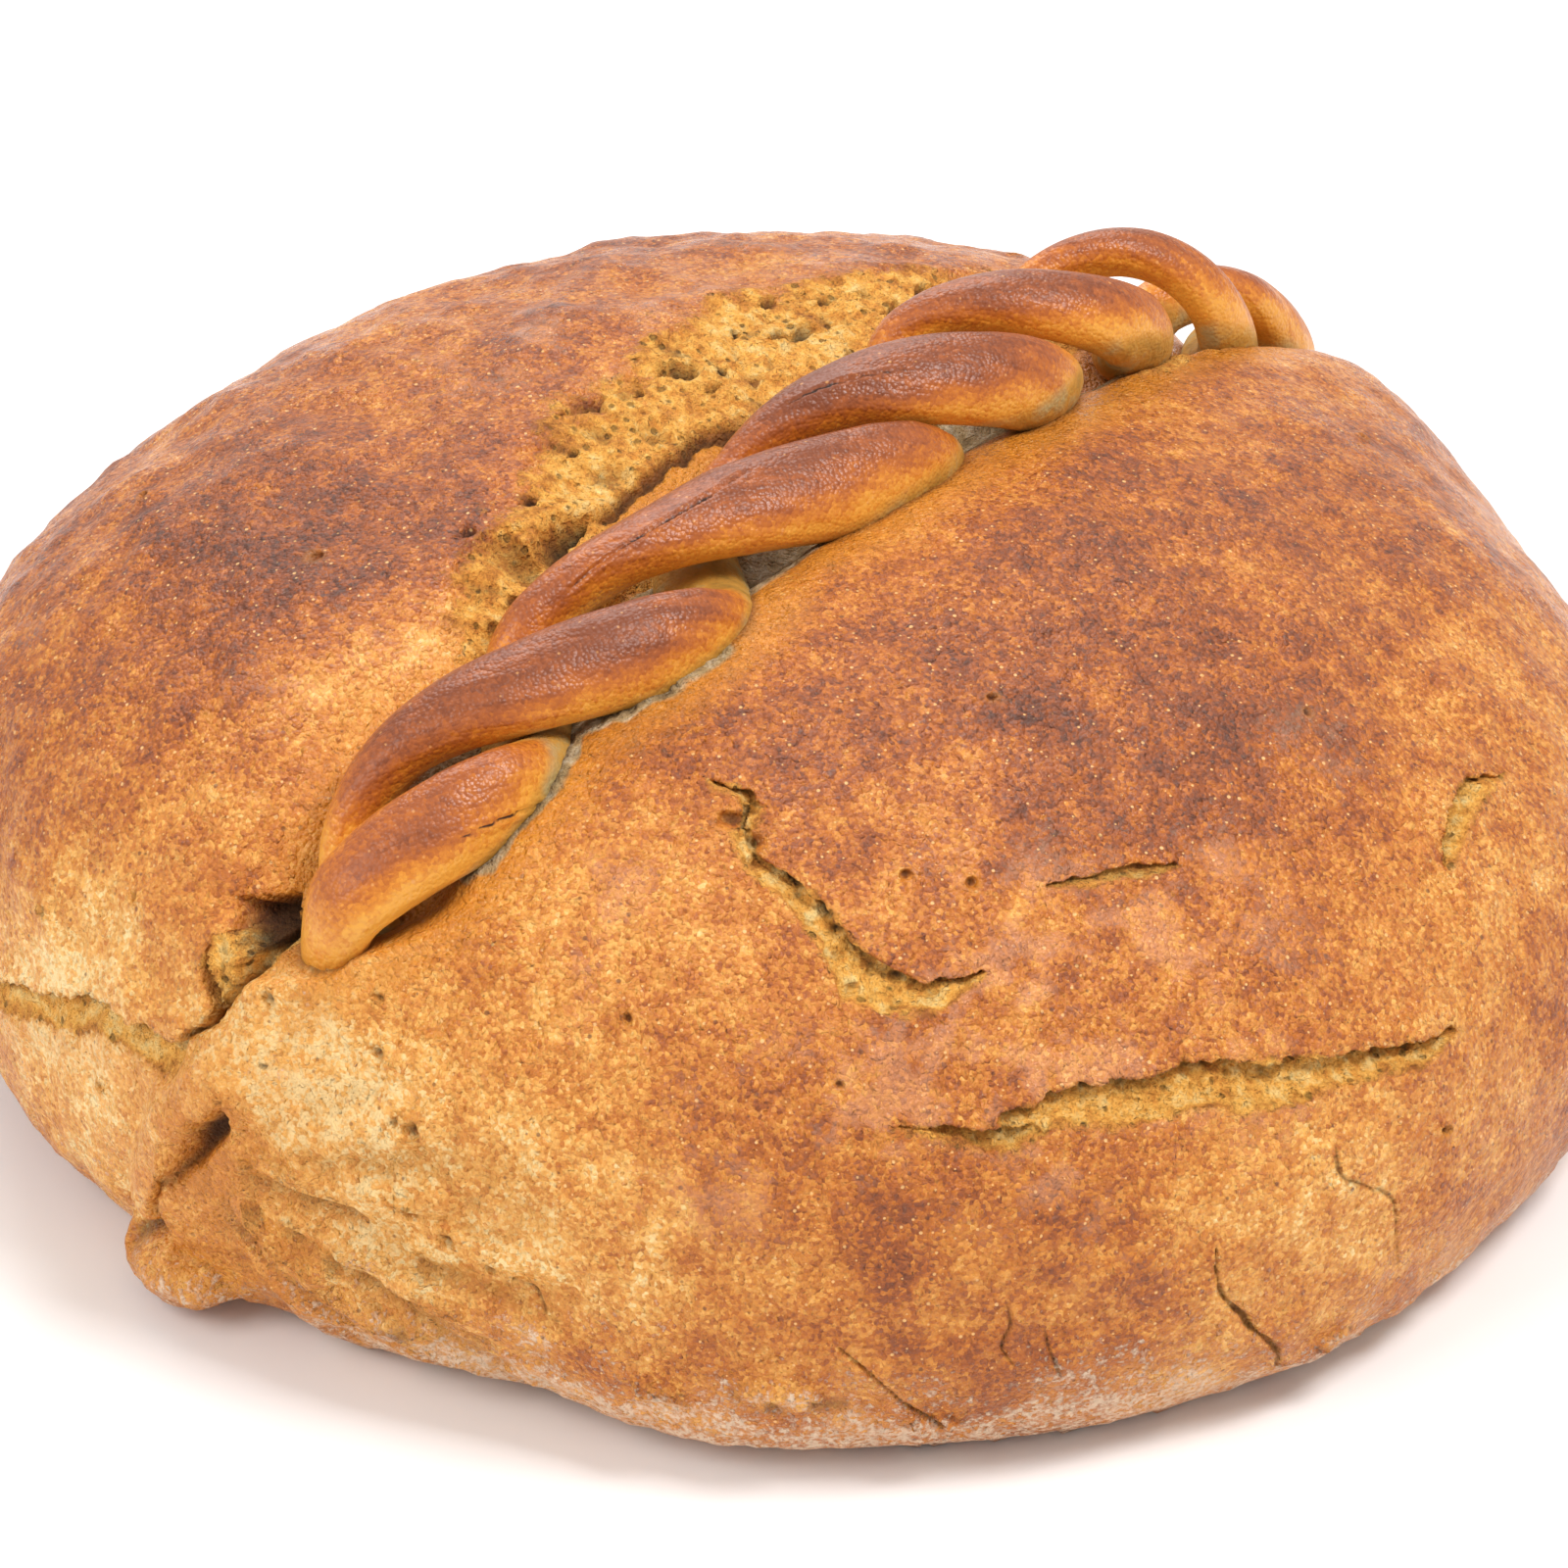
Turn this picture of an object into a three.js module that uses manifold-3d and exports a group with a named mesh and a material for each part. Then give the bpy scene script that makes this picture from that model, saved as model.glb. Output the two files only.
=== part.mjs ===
// A large rustic sourdough loaf with a twisted two-strand dough rope lying in the valley across its top.
// Millimetres, +Z up. +X runs along the rope to its arched end, +Y points to the torn back lobe, and the
// origin is the middle of the flat underside. A place on the crust is [azimuth round the loaf, elevation],
// in degrees, both seen from the heart of the loaf.
import * as THREE from 'three';
import { mergeVertices } from 'three/addons/utils/BufferGeometryUtils.js';
import Module from 'manifold-3d';

// Loaf
const LOAF_RADIUS = 151;
const LOAF_HEIGHT = 110;
const GIRTH_HEIGHT = 28; // level of the widest girth
const DOME_FULLNESS = 2.5; // superellipse exponent of the dome, 2 would be an ellipse
const BASE_INSET = 18; // how far the side draws in from the girth to the base
const LEAN = { x: -3.4, y: 5.4 }; // the shoulders of the back lobe and of the pinched end stand higher
const OUTLINE_WAVES = [
  { order: 2, size: 1.4, phase: -53 },
  { order: 3, size: 3.4, phase: 40 },
  { order: 4, size: 1.1, phase: -175 },
];

// Rope
const ROPE_Y = -3.5; // the rope's course across the top
const ROPE_START_RING = 0.78; // the rings that smoothCrust counts, 0 at the top of the dome and 1 at the girth
const ROPE_END_RING = 0.81;
const ROPE_RISE = -2.5; // the rope's axis above the level that the dome would have without its valley
const ARCH = { x: 60, halfLength: 50, rise: 7.5 }; // where the rope lifts off the crust
const TUCK = { depth: 5, share: 0.04 }; // how the rope's ends go down under the lips of crust
const FIT_GAP = 0.4; // between the rope and the crust that it has pressed into

// The two strands. Each list gives a value at some lengths of rope: the half turns that the strand has made,
// 0 where it first comes up at the left, how far its centre swings out to the sides, how far it rises over
// the rope's axis, and its width.
const STRANDS = {
  rope_strand_a: {
    turns: [
      [-13, 0], [18, 0.5], [51, 1], [82, 2], [119, 2.5], [160, 3], [187, 4], [206, 4.5], [226, 5], [267, 6],
      [281, 6.5], [301, 7], [331, 8],
    ],
    swing: [[18, 9], [119, 10.5], [206, 14], [281, 4]],
    rise: [[18, 5.5], [119, 5], [206, 6.5], [281, 5.5]],
    width: [[18, 17], [119, 18], [206, 15.5], [281, 13]],
  },
  rope_strand_b: {
    turns: [
      [-16, -1], [35, 0], [63, 0.5], [96, 1], [135, 2], [167, 2.5], [193, 3], [226, 4], [243, 4.5], [258, 5],
      [306, 6],
    ],
    swing: [[0, 3], [30, 10], [63, 14], [167, 14.5], [243, 11]],
    rise: [[63, 5], [167, 7.5], [243, 10]],
    width: [[63, 16.5], [167, 17.5], [243, 12.5]],
  },
};
const STRAND_SINK = 9; // how far a strand's centre goes down where it runs under the other
const STRAND_FLATNESS = 0.68; // thickness over width
const STRAND_SLIMNESS = 22; // length of a strand's straight part over the radius of its round ends
const TWIST_SOFTNESS = 9; // length of rope over which the pace of the twist changes

// Valley that the rope lies in; it closes in a lip of crust over each end of the rope
const VALLEY_DEPTH = 15.5;
const VALLEY_LEFT_WIDTH = 19;
const VALLEY_RIGHT_WIDTH = 11;
const LIP_HEIGHTS = { start: 67, end: 47 };
const LIP_RISE = 9;

// Soft swellings (+) and hollows (-) of the crust
const SWELLING_FADE = 8; // they die out this far above the base
const SWELLINGS = [
  { place: [95, 50], spread: 22, height: 2 },
  { place: [-70, 52], spread: 22, height: 2 },
  { place: [131, 12], spread: 14, height: 5 },
  { place: [-147, -9], spread: 9, height: 2.5 },
  { place: [-13, 23], spread: 9, height: 3.5 },
  { place: [-32, 12], spread: 11, height: -3.5 },
];

// Places where the edge of the base has lifted in baking, and the rings over which they rise and fall
const RIM_LIFT_RINGS = { start: 1.2, full: 2, end: 2.3 };
const RIM_LIFTS = [
  { azimuth: -163, spread: 8, height: 2.5 },
  { azimuth: 155, spread: 12, height: 2.5 },
  { azimuth: -25, spread: 14, height: 3.5 },
  { azimuth: 75, spread: 20, height: 4 },
];

// Strip of torn crumb along the rope on the back lobe, sunk below the crust
const TORN_STRIP = {
  x: 2,
  halfLength: 88,
  edge: 20,
  bulge: 20,
  depth: 4,
  softness: 6,
  ragged: 2,
  ragLength: 44,
};

// Strips that lie on the crust and are half sunk in it, with ragged edges
const STRIP = { slimness: 6, ringsPerPoint: 4, sides: 7, rags: 4, ragged: 0.12 };

// Open cracks; height is how deep they go
const CRACKS = [
  {
    width: 5.5,
    height: 4,
    course: [[-153, 39], [-149, 35], [-147, 31], [-143, 29], [-140, 25], [-136, 24], [-131, 24]],
  },
  { width: 6.5, height: 4, course: [[-131, 16.5], [-122, 16], [-115, 16.5], [-107, 14.5], [-98, 12]] },
  { width: 3.5, height: 3, course: [[-138, 15.5], [-134, 15], [-130, 14]] },
  { width: 3.5, height: 3, course: [[-76, 20.5], [-82, 22], [-89, 21]] },
  { width: 5, height: 4.5, course: [[150, 5], [158, 7.5], [165, 9.5], [171, 11.5]] },
];

// Pinched seams of the two lobes down the side below the rope's ends, the folds beside them, and the curled
// tip of dough at the foot of the first
const SEAMS = [
  { width: 15, height: 5, course: [[178, 17], [176, 11], [174, 5], [170, -2]] },
  { width: 14, height: 4.5, course: [[-2, 9], [-4, 4], [-3, 0], [0, -5]] },
];
const FOLDS = [
  { width: 4, height: 4.5, course: [[179, 10], [-178, 7], [180, 3], [176, -1]] },
  { width: 4, height: 4, course: [[3, 7], [4, 3], [2, -1]] },
];
const CURLED_TIP = { place: [170, -7], length: 25, thickness: 15, out: 0.5, lift: 1 };

const DOME_RINGS = 23;
const SIDE_RINGS = 8;
const UNDERSIDE_RINGS = [2.1, 2.3, 3];
const SPOKES = 80;
const SPOKE_CROWDING = 0.35; // spokes stand closer together where the rope's ends meet the side
const STRAND_RINGS = 52;
const STRAND_SIDES = 11;
const CAP_RINGS = 4; // round end of a strand or of a strip
const TIP_SIDES = 14;
const TIP_RINGS = 10;
const AXIS_STEPS = 44;
const HALVINGS = 24; // enough to find a place on the crust to a thousandth of a millimetre
const MERGE_DISTANCE = 1e-3;

const CRUST = { color: '#b9742d', roughness: 0.55, metalness: 0 };
const ROPE_CRUST = { color: '#8f4a22', roughness: 0.45, metalness: 0 };

const HEART = new THREE.Vector3(0, 0, GIRTH_HEIGHT);
const { degToRad: radians, smoothstep } = THREE.MathUtils;
const bell = (x) => Math.exp(-x * x);

const wasm = await Module();
wasm.setup();

function outlineRadius(azimuth) {
  return OUTLINE_WAVES.reduce(
    (radius, { order, size, phase }) => radius + size * Math.cos(order * azimuth - radians(phase)),
    LOAF_RADIUS,
  );
}

function lean(azimuth, dome) {
  return (LEAN.x * Math.cos(azimuth) + LEAN.y * Math.sin(azimuth)) * Math.sin(2 * dome);
}

function rimLift(azimuth) {
  return RIM_LIFTS.reduce((sum, lift) => {
    const turned = azimuth - radians(lift.azimuth);
    const away = Math.atan2(Math.sin(turned), Math.cos(turned));
    return sum + lift.height * bell(away / radians(lift.spread));
  }, 0);
}

// The crust before its relief. ring is 0 at the top, 1 at the girth, 2 at the edge of the base and 3 in the
// middle of the underside.
function smoothCrust(azimuth, ring) {
  const radius = outlineRadius(azimuth);
  let out = (radius - BASE_INSET) * (3 - ring);
  let up = 0;
  if (ring <= 1) {
    const dome = ring * Math.PI / 2;
    out = radius * Math.sin(dome) ** (2 / DOME_FULLNESS);
    up = GIRTH_HEIGHT + (LOAF_HEIGHT - GIRTH_HEIGHT) * Math.abs(Math.cos(dome)) ** (2 / DOME_FULLNESS);
    up += lean(azimuth, dome);
  } else if (ring < 2) {
    const side = (ring - 1) * Math.PI / 2;
    out = radius - BASE_INSET * (1 - Math.cos(side));
    up = GIRTH_HEIGHT * (1 - Math.sin(side));
  }
  const { start, full, end } = RIM_LIFT_RINGS;
  up += rimLift(azimuth) * smoothstep(ring, start, full) * (1 - smoothstep(ring, full, end));
  return new THREE.Vector3(out * Math.cos(azimuth), out * Math.sin(azimuth), up);
}

function directionOf([azimuth, elevation]) {
  const level = Math.cos(radians(elevation));
  return new THREE.Vector3(
    level * Math.cos(radians(azimuth)),
    level * Math.sin(radians(azimuth)),
    Math.sin(radians(elevation)),
  );
}

function swelling(outward) {
  return SWELLINGS.reduce((sum, { place, spread, height }) => {
    const away = outward.angleTo(directionOf(place));
    return sum + height * bell(away / radians(spread));
  }, 0);
}

function valley(point) {
  const side = point.y - ROPE_Y;
  const width = side > 0 ? VALLEY_LEFT_WIDTH : VALLEY_RIGHT_WIDTH;
  const lip = point.x < 0 ? LIP_HEIGHTS.start : LIP_HEIGHTS.end;
  return VALLEY_DEPTH * bell(side / width) * smoothstep(point.z, lip, lip + LIP_RISE);
}

// The torn strip runs from the valley up to a ragged edge on the back lobe
function tornStrip(point) {
  const { x, halfLength, edge, bulge, depth, softness, ragged, ragLength } = TORN_STRIP;
  const along = Math.min(Math.abs(point.x - x) / halfLength, 1);
  const rags = ragged * Math.sin(2 * Math.PI * point.x / ragLength);
  const edgeY = edge + bulge * (1 - along ** 2) + rags;
  const inside = 1 - smoothstep(point.y, edgeY - softness, edgeY + softness);
  return point.y > ROPE_Y ? depth * inside * (1 - along ** 6) : 0;
}

// The crust with its swellings, valley and torn strip, all measured towards the heart of the loaf
function crust(azimuth, ring) {
  const point = smoothCrust(azimuth, ring);
  if (ring < 2) {
    const outward = point.clone().sub(HEART).normalize();
    const raised = swelling(outward) * smoothstep(point.z, 0, SWELLING_FADE);
    const sunk = ring < 1 ? valley(point) + tornStrip(point) : 0;
    point.addScaledVector(outward, raised - sunk);
  }
  return point;
}

// The point of the crust at a place, found by halving the range of rings
function crustAt([azimuth, elevation]) {
  let low = 0;
  let high = 2;
  for (let step = 0; step < HALVINGS; step += 1) {
    const ring = (low + high) / 2;
    const { x, y, z } = smoothCrust(radians(azimuth), ring).sub(HEART);
    const seen = Math.atan2(z, Math.hypot(x, y));
    if (seen > radians(elevation)) {
      low = ring;
    } else {
      high = ring;
    }
  }
  return crust(radians(azimuth), low);
}

function toSolid(geometry) {
  geometry.deleteAttribute('normal');
  geometry.deleteAttribute('uv');
  const merged = mergeVertices(geometry, MERGE_DISTANCE);
  const corners = merged.index.array;
  const triangles = [];
  for (let i = 0; i < corners.length; i += 3) {
    const [a, b, c] = corners.slice(i, i + 3);
    if (a !== b && b !== c && c !== a) {
      triangles.push(a, b, c);
    }
  }
  return new wasm.Manifold(new wasm.Mesh({
    numProp: 3,
    vertProperties: new Float32Array(merged.attributes.position.array),
    triVerts: new Uint32Array(triangles),
  }));
}

function toMesh(name, solid, look) {
  const { vertProperties, triVerts } = solid.getMesh();
  const geometry = new THREE.BufferGeometry();
  geometry.setAttribute('position', new THREE.BufferAttribute(vertProperties, 3));
  geometry.setIndex(new THREE.BufferAttribute(triVerts, 1));
  geometry.computeVertexNormals();
  const mesh = new THREE.Mesh(geometry, new THREE.MeshStandardMaterial(look));
  mesh.name = name;
  return mesh;
}

// A capsule bent to a new course: place(along, across, over) takes along from 0 to 1, and across and over in
// a unit circle that closes at both ends.
function bentCapsule(slimness, rings, sides, place) {
  const geometry = new THREE.CapsuleGeometry(1, slimness, CAP_RINGS, sides, rings);
  const { position } = geometry.attributes;
  for (let i = 0; i < position.count; i += 1) {
    const along = 0.5 + position.getY(i) / (slimness + 2);
    const point = place(along, position.getX(i), position.getZ(i));
    position.setXYZ(i, point.x, point.y, point.z);
  }
  return toSolid(geometry);
}

function curveOnCrust(course) {
  return new THREE.CatmullRomCurve3(course.map(crustAt));
}

// A long form lying on the crust, half sunk in it
function crustStrip({ course, width, height }) {
  const curve = curveOnCrust(course);
  const { slimness, ringsPerPoint, sides, rags, ragged } = STRIP;
  return bentCapsule(slimness, ringsPerPoint * course.length, sides, (along, across, over) => {
    const point = curve.getPointAt(along);
    const outward = point.clone().sub(HEART).normalize();
    const sideways = curve.getTangentAt(along).cross(outward).normalize();
    const reach = 1 + ragged * Math.sin(2 * Math.PI * rags * along) * Math.abs(across);
    return point
      .addScaledVector(sideways, across * reach * width / 2)
      .addScaledVector(outward, over * height);
  });
}

// The rope's axis, over the dome from its start at -X to its end at +X
function ropeAxis() {
  const points = [];
  for (let step = 0; step <= AXIS_STEPS; step += 1) {
    const ring = THREE.MathUtils.lerp(-ROPE_START_RING, ROPE_END_RING, step / AXIS_STEPS);
    const point = smoothCrust(ring < 0 ? Math.PI : 0, Math.abs(ring)).setY(ROPE_Y);
    const outward = point.clone().sub(HEART).setY(0).normalize();
    const arch = ARCH.rise * bell((point.x - ARCH.x) / ARCH.halfLength);
    const tuck = TUCK.depth * bell(Math.min(step, AXIS_STEPS - step) / AXIS_STEPS / TUCK.share);
    points.push(point.addScaledVector(outward, ROPE_RISE + arch - tuck));
  }
  return new THREE.CatmullRomCurve3(points);
}

// The value of a list of [length, value] pairs at a length
function valueAt(list, length) {
  const next = list.findIndex(([place]) => place > length);
  if (next < 1) {
    return next === 0 ? list[0][1] : list[list.length - 1][1];
  }
  const [[start, from], [end, to]] = [list[next - 1], list[next]];
  return THREE.MathUtils.mapLinear(length, start, end, from, to);
}

// A strand's place at a length of rope: its centre and the direction away from the rope's axis
function strandCourse(axis, strand, length) {
  const along = THREE.MathUtils.clamp(length / axis.getLength(), 0, 1);
  const left = new THREE.Vector3(0, 1, 0);
  const upward = axis.getTangentAt(along).cross(left);
  const pace = [-1, -0.5, 0, 0.5, 1].map((step) => valueAt(strand.turns, length + step * TWIST_SOFTNESS));
  const turn = Math.PI * pace.reduce((sum, turns) => sum + turns) / pace.length;
  const height = Math.sin(turn) > 0 ? valueAt(strand.rise, length) : STRAND_SINK;
  const centre = axis.getPointAt(along)
    .addScaledVector(left, valueAt(strand.swing, length) * Math.cos(turn))
    .addScaledVector(upward, height * Math.sin(turn));
  return { centre, away: left.multiplyScalar(Math.cos(turn)).addScaledVector(upward, Math.sin(turn)) };
}

// One strand of the rope; gap makes it thicker all round
function ropeStrand(strand, gap) {
  const axis = ropeAxis();
  const total = axis.getLength();
  return bentCapsule(STRAND_SLIMNESS, STRAND_RINGS, STRAND_SIDES, (along, across, over) => {
    const length = along * total;
    const { centre, away } = strandCourse(axis, strand, length);
    const ahead = strandCourse(axis, strand, length + 1).centre;
    const behind = strandCourse(axis, strand, length - 1).centre;
    const tangent = ahead.sub(behind).normalize();
    const beside = new THREE.Vector3().crossVectors(tangent, away).normalize();
    const outward = beside.clone().cross(tangent);
    const halfWidth = valueAt(strand.width, length) / 2;
    return centre
      .addScaledVector(outward, over * (halfWidth * STRAND_FLATNESS + gap))
      .addScaledVector(beside, across * (halfWidth + gap));
  });
}

function curledTip() {
  const { place, length, thickness, out, lift } = CURLED_TIP;
  const geometry = new THREE.SphereGeometry(0.5, TIP_SIDES, TIP_RINGS);
  const centre = crustAt(place);
  const outward = centre.clone().sub(HEART).setZ(0).normalize();
  geometry.scale(thickness, length, thickness);
  geometry.rotateZ(Math.atan2(outward.y, outward.x));
  geometry.translate(centre.x + out * outward.x, centre.y + out * outward.y, thickness / 2 + lift);
  return toSolid(geometry);
}

function loafBody() {
  const domeRings = Array.from({ length: DOME_RINGS + 1 }, (_, i) => i / DOME_RINGS);
  const sideRings = Array.from({ length: SIDE_RINGS }, (_, i) => 1 + (i + 1) / SIDE_RINGS);
  const rings = [...domeRings, ...sideRings, ...UNDERSIDE_RINGS].reverse();
  const profile = rings.map((ring) => {
    const { x, z } = smoothCrust(0, ring);
    return new THREE.Vector2(x, z);
  });
  const geometry = new THREE.LatheGeometry(profile, SPOKES);
  const { position, uv } = geometry.attributes;
  for (let i = 0; i < position.count; i += 1) {
    const even = 2 * Math.PI * uv.getX(i);
    const azimuth = even - SPOKE_CROWDING * Math.sin(2 * even) / 2;
    const point = crust(azimuth, rings[Math.round(uv.getY(i) * (rings.length - 1))]);
    position.setXYZ(i, point.x, point.y, point.z);
  }
  return toSolid(geometry);
}

function loaf() {
  let solid = loafBody().add(curledTip());
  SEAMS.forEach((seam) => {
    solid = solid.add(crustStrip(seam));
  });
  [...CRACKS, ...FOLDS].forEach((opening) => {
    solid = solid.subtract(crustStrip(opening));
  });
  Object.values(STRANDS).forEach((strand) => {
    solid = solid.subtract(ropeStrand(strand, FIT_GAP));
  });
  return solid.decompose().sort((a, b) => b.volume() - a.volume())[0];
}

const sourdough = new THREE.Group();
sourdough.add(
  toMesh('loaf', loaf(), CRUST),
  ...Object.entries(STRANDS).map(([name, strand]) => toMesh(name, ropeStrand(strand, 0), ROPE_CRUST)),
);

export default sourdough;
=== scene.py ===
import math

import bmesh
import bpy
import numpy as np
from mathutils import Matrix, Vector, noise


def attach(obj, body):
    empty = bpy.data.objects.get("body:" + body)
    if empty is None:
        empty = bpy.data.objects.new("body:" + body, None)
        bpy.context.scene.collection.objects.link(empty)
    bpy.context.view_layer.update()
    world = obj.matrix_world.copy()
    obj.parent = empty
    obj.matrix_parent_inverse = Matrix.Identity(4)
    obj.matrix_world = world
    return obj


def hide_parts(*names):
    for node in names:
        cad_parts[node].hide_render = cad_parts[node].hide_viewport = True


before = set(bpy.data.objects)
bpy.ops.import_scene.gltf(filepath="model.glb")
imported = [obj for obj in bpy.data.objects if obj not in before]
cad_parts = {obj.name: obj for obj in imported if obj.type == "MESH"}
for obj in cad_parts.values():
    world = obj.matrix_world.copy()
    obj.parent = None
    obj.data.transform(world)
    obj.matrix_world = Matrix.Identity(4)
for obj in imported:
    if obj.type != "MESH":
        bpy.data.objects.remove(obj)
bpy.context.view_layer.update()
mm = 0.001


# Tools that every piece uses. Shapes are worked out in mm and stored in metres at the end.

def deselectAll():
    if bpy.context.mode != "OBJECT":
        bpy.ops.object.mode_set(mode="OBJECT")
    bpy.ops.object.select_all(action="DESELECT")


def editEdges(obj, test):
    # into edit mode with the edges selected that pass test(middle, direction)
    bpy.context.view_layer.objects.active = obj
    bpy.ops.object.mode_set(mode="EDIT")
    bpy.context.tool_settings.mesh_select_mode = (False, True, False)
    shape = bmesh.from_edit_mesh(obj.data)
    for edge in shape.edges:
        start, end = edge.verts[0].co, edge.verts[1].co
        edge.select_set(bool(test((start + end) / 2, (end - start).normalized())))
    bmesh.update_edit_mesh(obj.data)


def editFaces(obj, chosen):
    # into edit mode with the faces selected that chosen(centres) marks
    centres = np.empty(len(obj.data.polygons) * 3)
    obj.data.polygons.foreach_get("center", centres)
    marked = chosen(centres.reshape(-1, 3))
    obj.data.vertices.foreach_set("select", np.zeros(len(obj.data.vertices), bool))
    obj.data.edges.foreach_set("select", np.zeros(len(obj.data.edges), bool))
    obj.data.polygons.foreach_set("select", marked)
    bpy.context.view_layer.objects.active = obj
    bpy.context.tool_settings.mesh_select_mode = (False, False, True)
    bpy.ops.object.mode_set(mode="EDIT")


def getPoints(obj):
    points = np.empty(len(obj.data.vertices) * 3)
    obj.data.vertices.foreach_get("co", points)
    return points.reshape(-1, 3)


def setPoints(obj, points):
    obj.data.vertices.foreach_set("co", points.ravel())
    obj.data.update()


def setAttribute(obj, name, values):
    layer = obj.data.attributes.new(name, "FLOAT", "POINT")
    layer.data.foreach_set("value", np.clip(values, 0, 1).astype(np.float32))


def raiseTo(skin, name, chosen, values):
    # a finish keeps the greater of what it had and what is added
    skin[name][chosen] = np.maximum(skin[name][chosen], values)


def angleAway(outward, azimuth, elevation):
    # angle between each direction and a place on the crust
    return np.arccos(np.clip(outward @ heading(azimuth, elevation), -1, 1))


def mmAway(outward, azimuth, elevation):
    # the same measured along the crust, at about 150 mm to a radian
    return angleAway(outward, azimuth, elevation) * 150


def patches(outward, places):
    # sum of soft round patches: azimuth, elevation, spread in degrees, strength
    total = np.zeros(len(outward))
    for azimuth, elevation, spread, strength in places:
        total += strength * bell(angleAway(outward, azimuth, elevation) / math.radians(spread))
    return total


def unit(vectors):
    return vectors / np.maximum(np.linalg.norm(vectors, axis=-1, keepdims=True), 1e-9)


def ease(values, low, high):
    share = np.clip((values - low) / (high - low), 0, 1)
    return share * share * (3 - 2 * share)


def bell(values):
    return np.exp(-values * values)


def lumps(points, size, octaves=2, seed=0):
    # soft random bumps of about that size in mm, from -1 to 1
    shift = Vector((seed * 17.3, seed * -9.1, seed * 5.7))
    return np.array([noise.fractal(Vector(p) / size + shift, 1.0, 2.0, octaves) for p in points])


def bubbles(points, size, seed=0):
    # round pits of about that size in mm, 0 on the walls between them and 1 at their middles
    shift = Vector((seed * 11.9, seed * 7.3, seed * -3.1))
    depths = []
    for p in points:
        near, cells = noise.voronoi(Vector(p) / size + shift)
        wide = 0.5 + 0.5 * noise.cell(cells[0] * 7.7)
        depths.append(max(0.0, 1 - near[0] / (0.25 + 0.45 * wide)))
    return np.array(depths)


def smoothLine(points, perSpan=10):
    # a Catmull-Rom line through the points
    points = np.asarray(points, float)
    ends = np.vstack([2 * points[0] - points[1], points, 2 * points[-1] - points[-2]])
    spans = []
    for i in range(1, len(points)):
        a, b, c, d = ends[i - 1], ends[i], ends[i + 1], ends[i + 2]
        t = np.linspace(0, 1, perSpan, endpoint=False)[:, None]
        spans.append(0.5 * (2 * b + (c - a) * t + (2 * a - 5 * b + 4 * c - d) * t ** 2
                            + (3 * b - a - 3 * c + d) * t ** 3))
    return np.vstack(spans + [points[-1:]])


# The loaf's form, as the solid model has it: a dome on a side that draws in to the flat base

loaf = {
    "radius": 151, "height": 110, "girth": 28, "fullness": 2.5, "baseInset": 18,
    "lean": (-3.4, 5.4),
    "waves": [(2, 1.4, -53), (3, 3.4, 40), (4, 1.1, -175)],  # order, size, phase of the outline
    "rimLifts": [(-163, 8, 2.5), (155, 12, 2.5), (-25, 14, 3.5), (75, 20, 4)],  # azimuth, spread, height
    "swellings": [  # azimuth, elevation, spread, height
        (95, 50, 22, 2), (-70, 52, 22, 2), (131, 12, 14, 5), (-147, -9, 9, 2.5), (-13, 23, 9, 3.5),
        (-32, 12, 11, -3.5),
    ],
}
browned = [  # azimuth, elevation, spread, how much darker
    (-113, 43, 17, 0.16), (-100, 34, 12, 0.1), (-125, 52, 12, 0.06), (-60, 52, 18, 0.1),
    (125, 43, 20, 0.12), (155, 40, 11, 0.05), (100, 25, 25, 0.06), (-35, 30, 22, 0.06),
    (-143, 12, 14, 0.06), (30, 30, 25, 0.08), (160, 12, 14, -0.16), (-172, 6, 14, -0.14),
    (-160, 20, 14, -0.1), (-90, 14, 14, -0.16), (-152, 5, 14, -0.12), (-60, 18, 14, -0.14),
    (-115, 5, 14, -0.08), (-125, 14, 8, -0.05), (10, 5, 20, -0.12), (80, 5, 30, -0.1), (161, 3, 12, -0.36),
    (-172, 4, 12, -0.14), (-108, 3, 10, -0.2), (166, 41, 7, -0.2), (-178, 14, 7, -0.22),
    (-178.5, 13.5, 4, -0.25), (150, 46, 10, 0.1), (150, 27, 9, 0.08), (-90, 17, 9, 0.06),
    (-58, 23, 10, 0.06), (-165, 20, 8, 0.08),
]
paintedSheenSpots = [  # azimuth, elevation, spread, strength of a painted sheen: pale pink that stands in for broken highlights
    (-161.4, 30.3, 6, 0.5), (-128.7, 28, 7, 0.5), (-130.6, 19.9, 8, 0.7), (-119.6, 21.9, 8, 0.7),
    (-149.4, 13, 6, 0.7), (-139.2, 16.3, 6, 0.7), (-124.8, 10.5, 6, 0.7), (-163.2, 24.9, 6, 0.7),
    (-108.8, 25.4, 7, 0.6), (-91, 30.1, 7, 0.5), (-111.3, 12, 5, 0.6), (165.5, 35.5, 8, 0.6),
    (83.6, 54.2, 14, 0.8), (45, 48, 10, 0.6), (110, 50, 9, 0.4), (10, 35, 10, 0.5), (-30, 25, 8, 0.5),
    (60, 20, 8, 0.4), (135, 20, 8, 0.35), (-70, 12, 7, 0.4),
]
valley = {
    "y": -3.5, "depth": 15.5, "leftWidth": 19, "rightWidth": 11,
    "leftLip": 73, "leftSlant": 0.5, "leftRise": 4.5, "rightLip": 47, "rightRise": 9,
}
heart = np.array([0, 0, loaf["girth"]], float)
crustMarks = ("crumb", "paintedShade", "gold", "flour", "seam", "paintedSheen")  # finishes painted on its points, among them painted shade in hollows and a painted sheen that stands in for highlights


def heading(azimuth, elevation):
    azimuth, elevation = np.radians(azimuth), np.radians(elevation)
    level = np.cos(elevation)
    return np.stack([level * np.cos(azimuth), level * np.sin(azimuth), np.sin(elevation)], -1)


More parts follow.
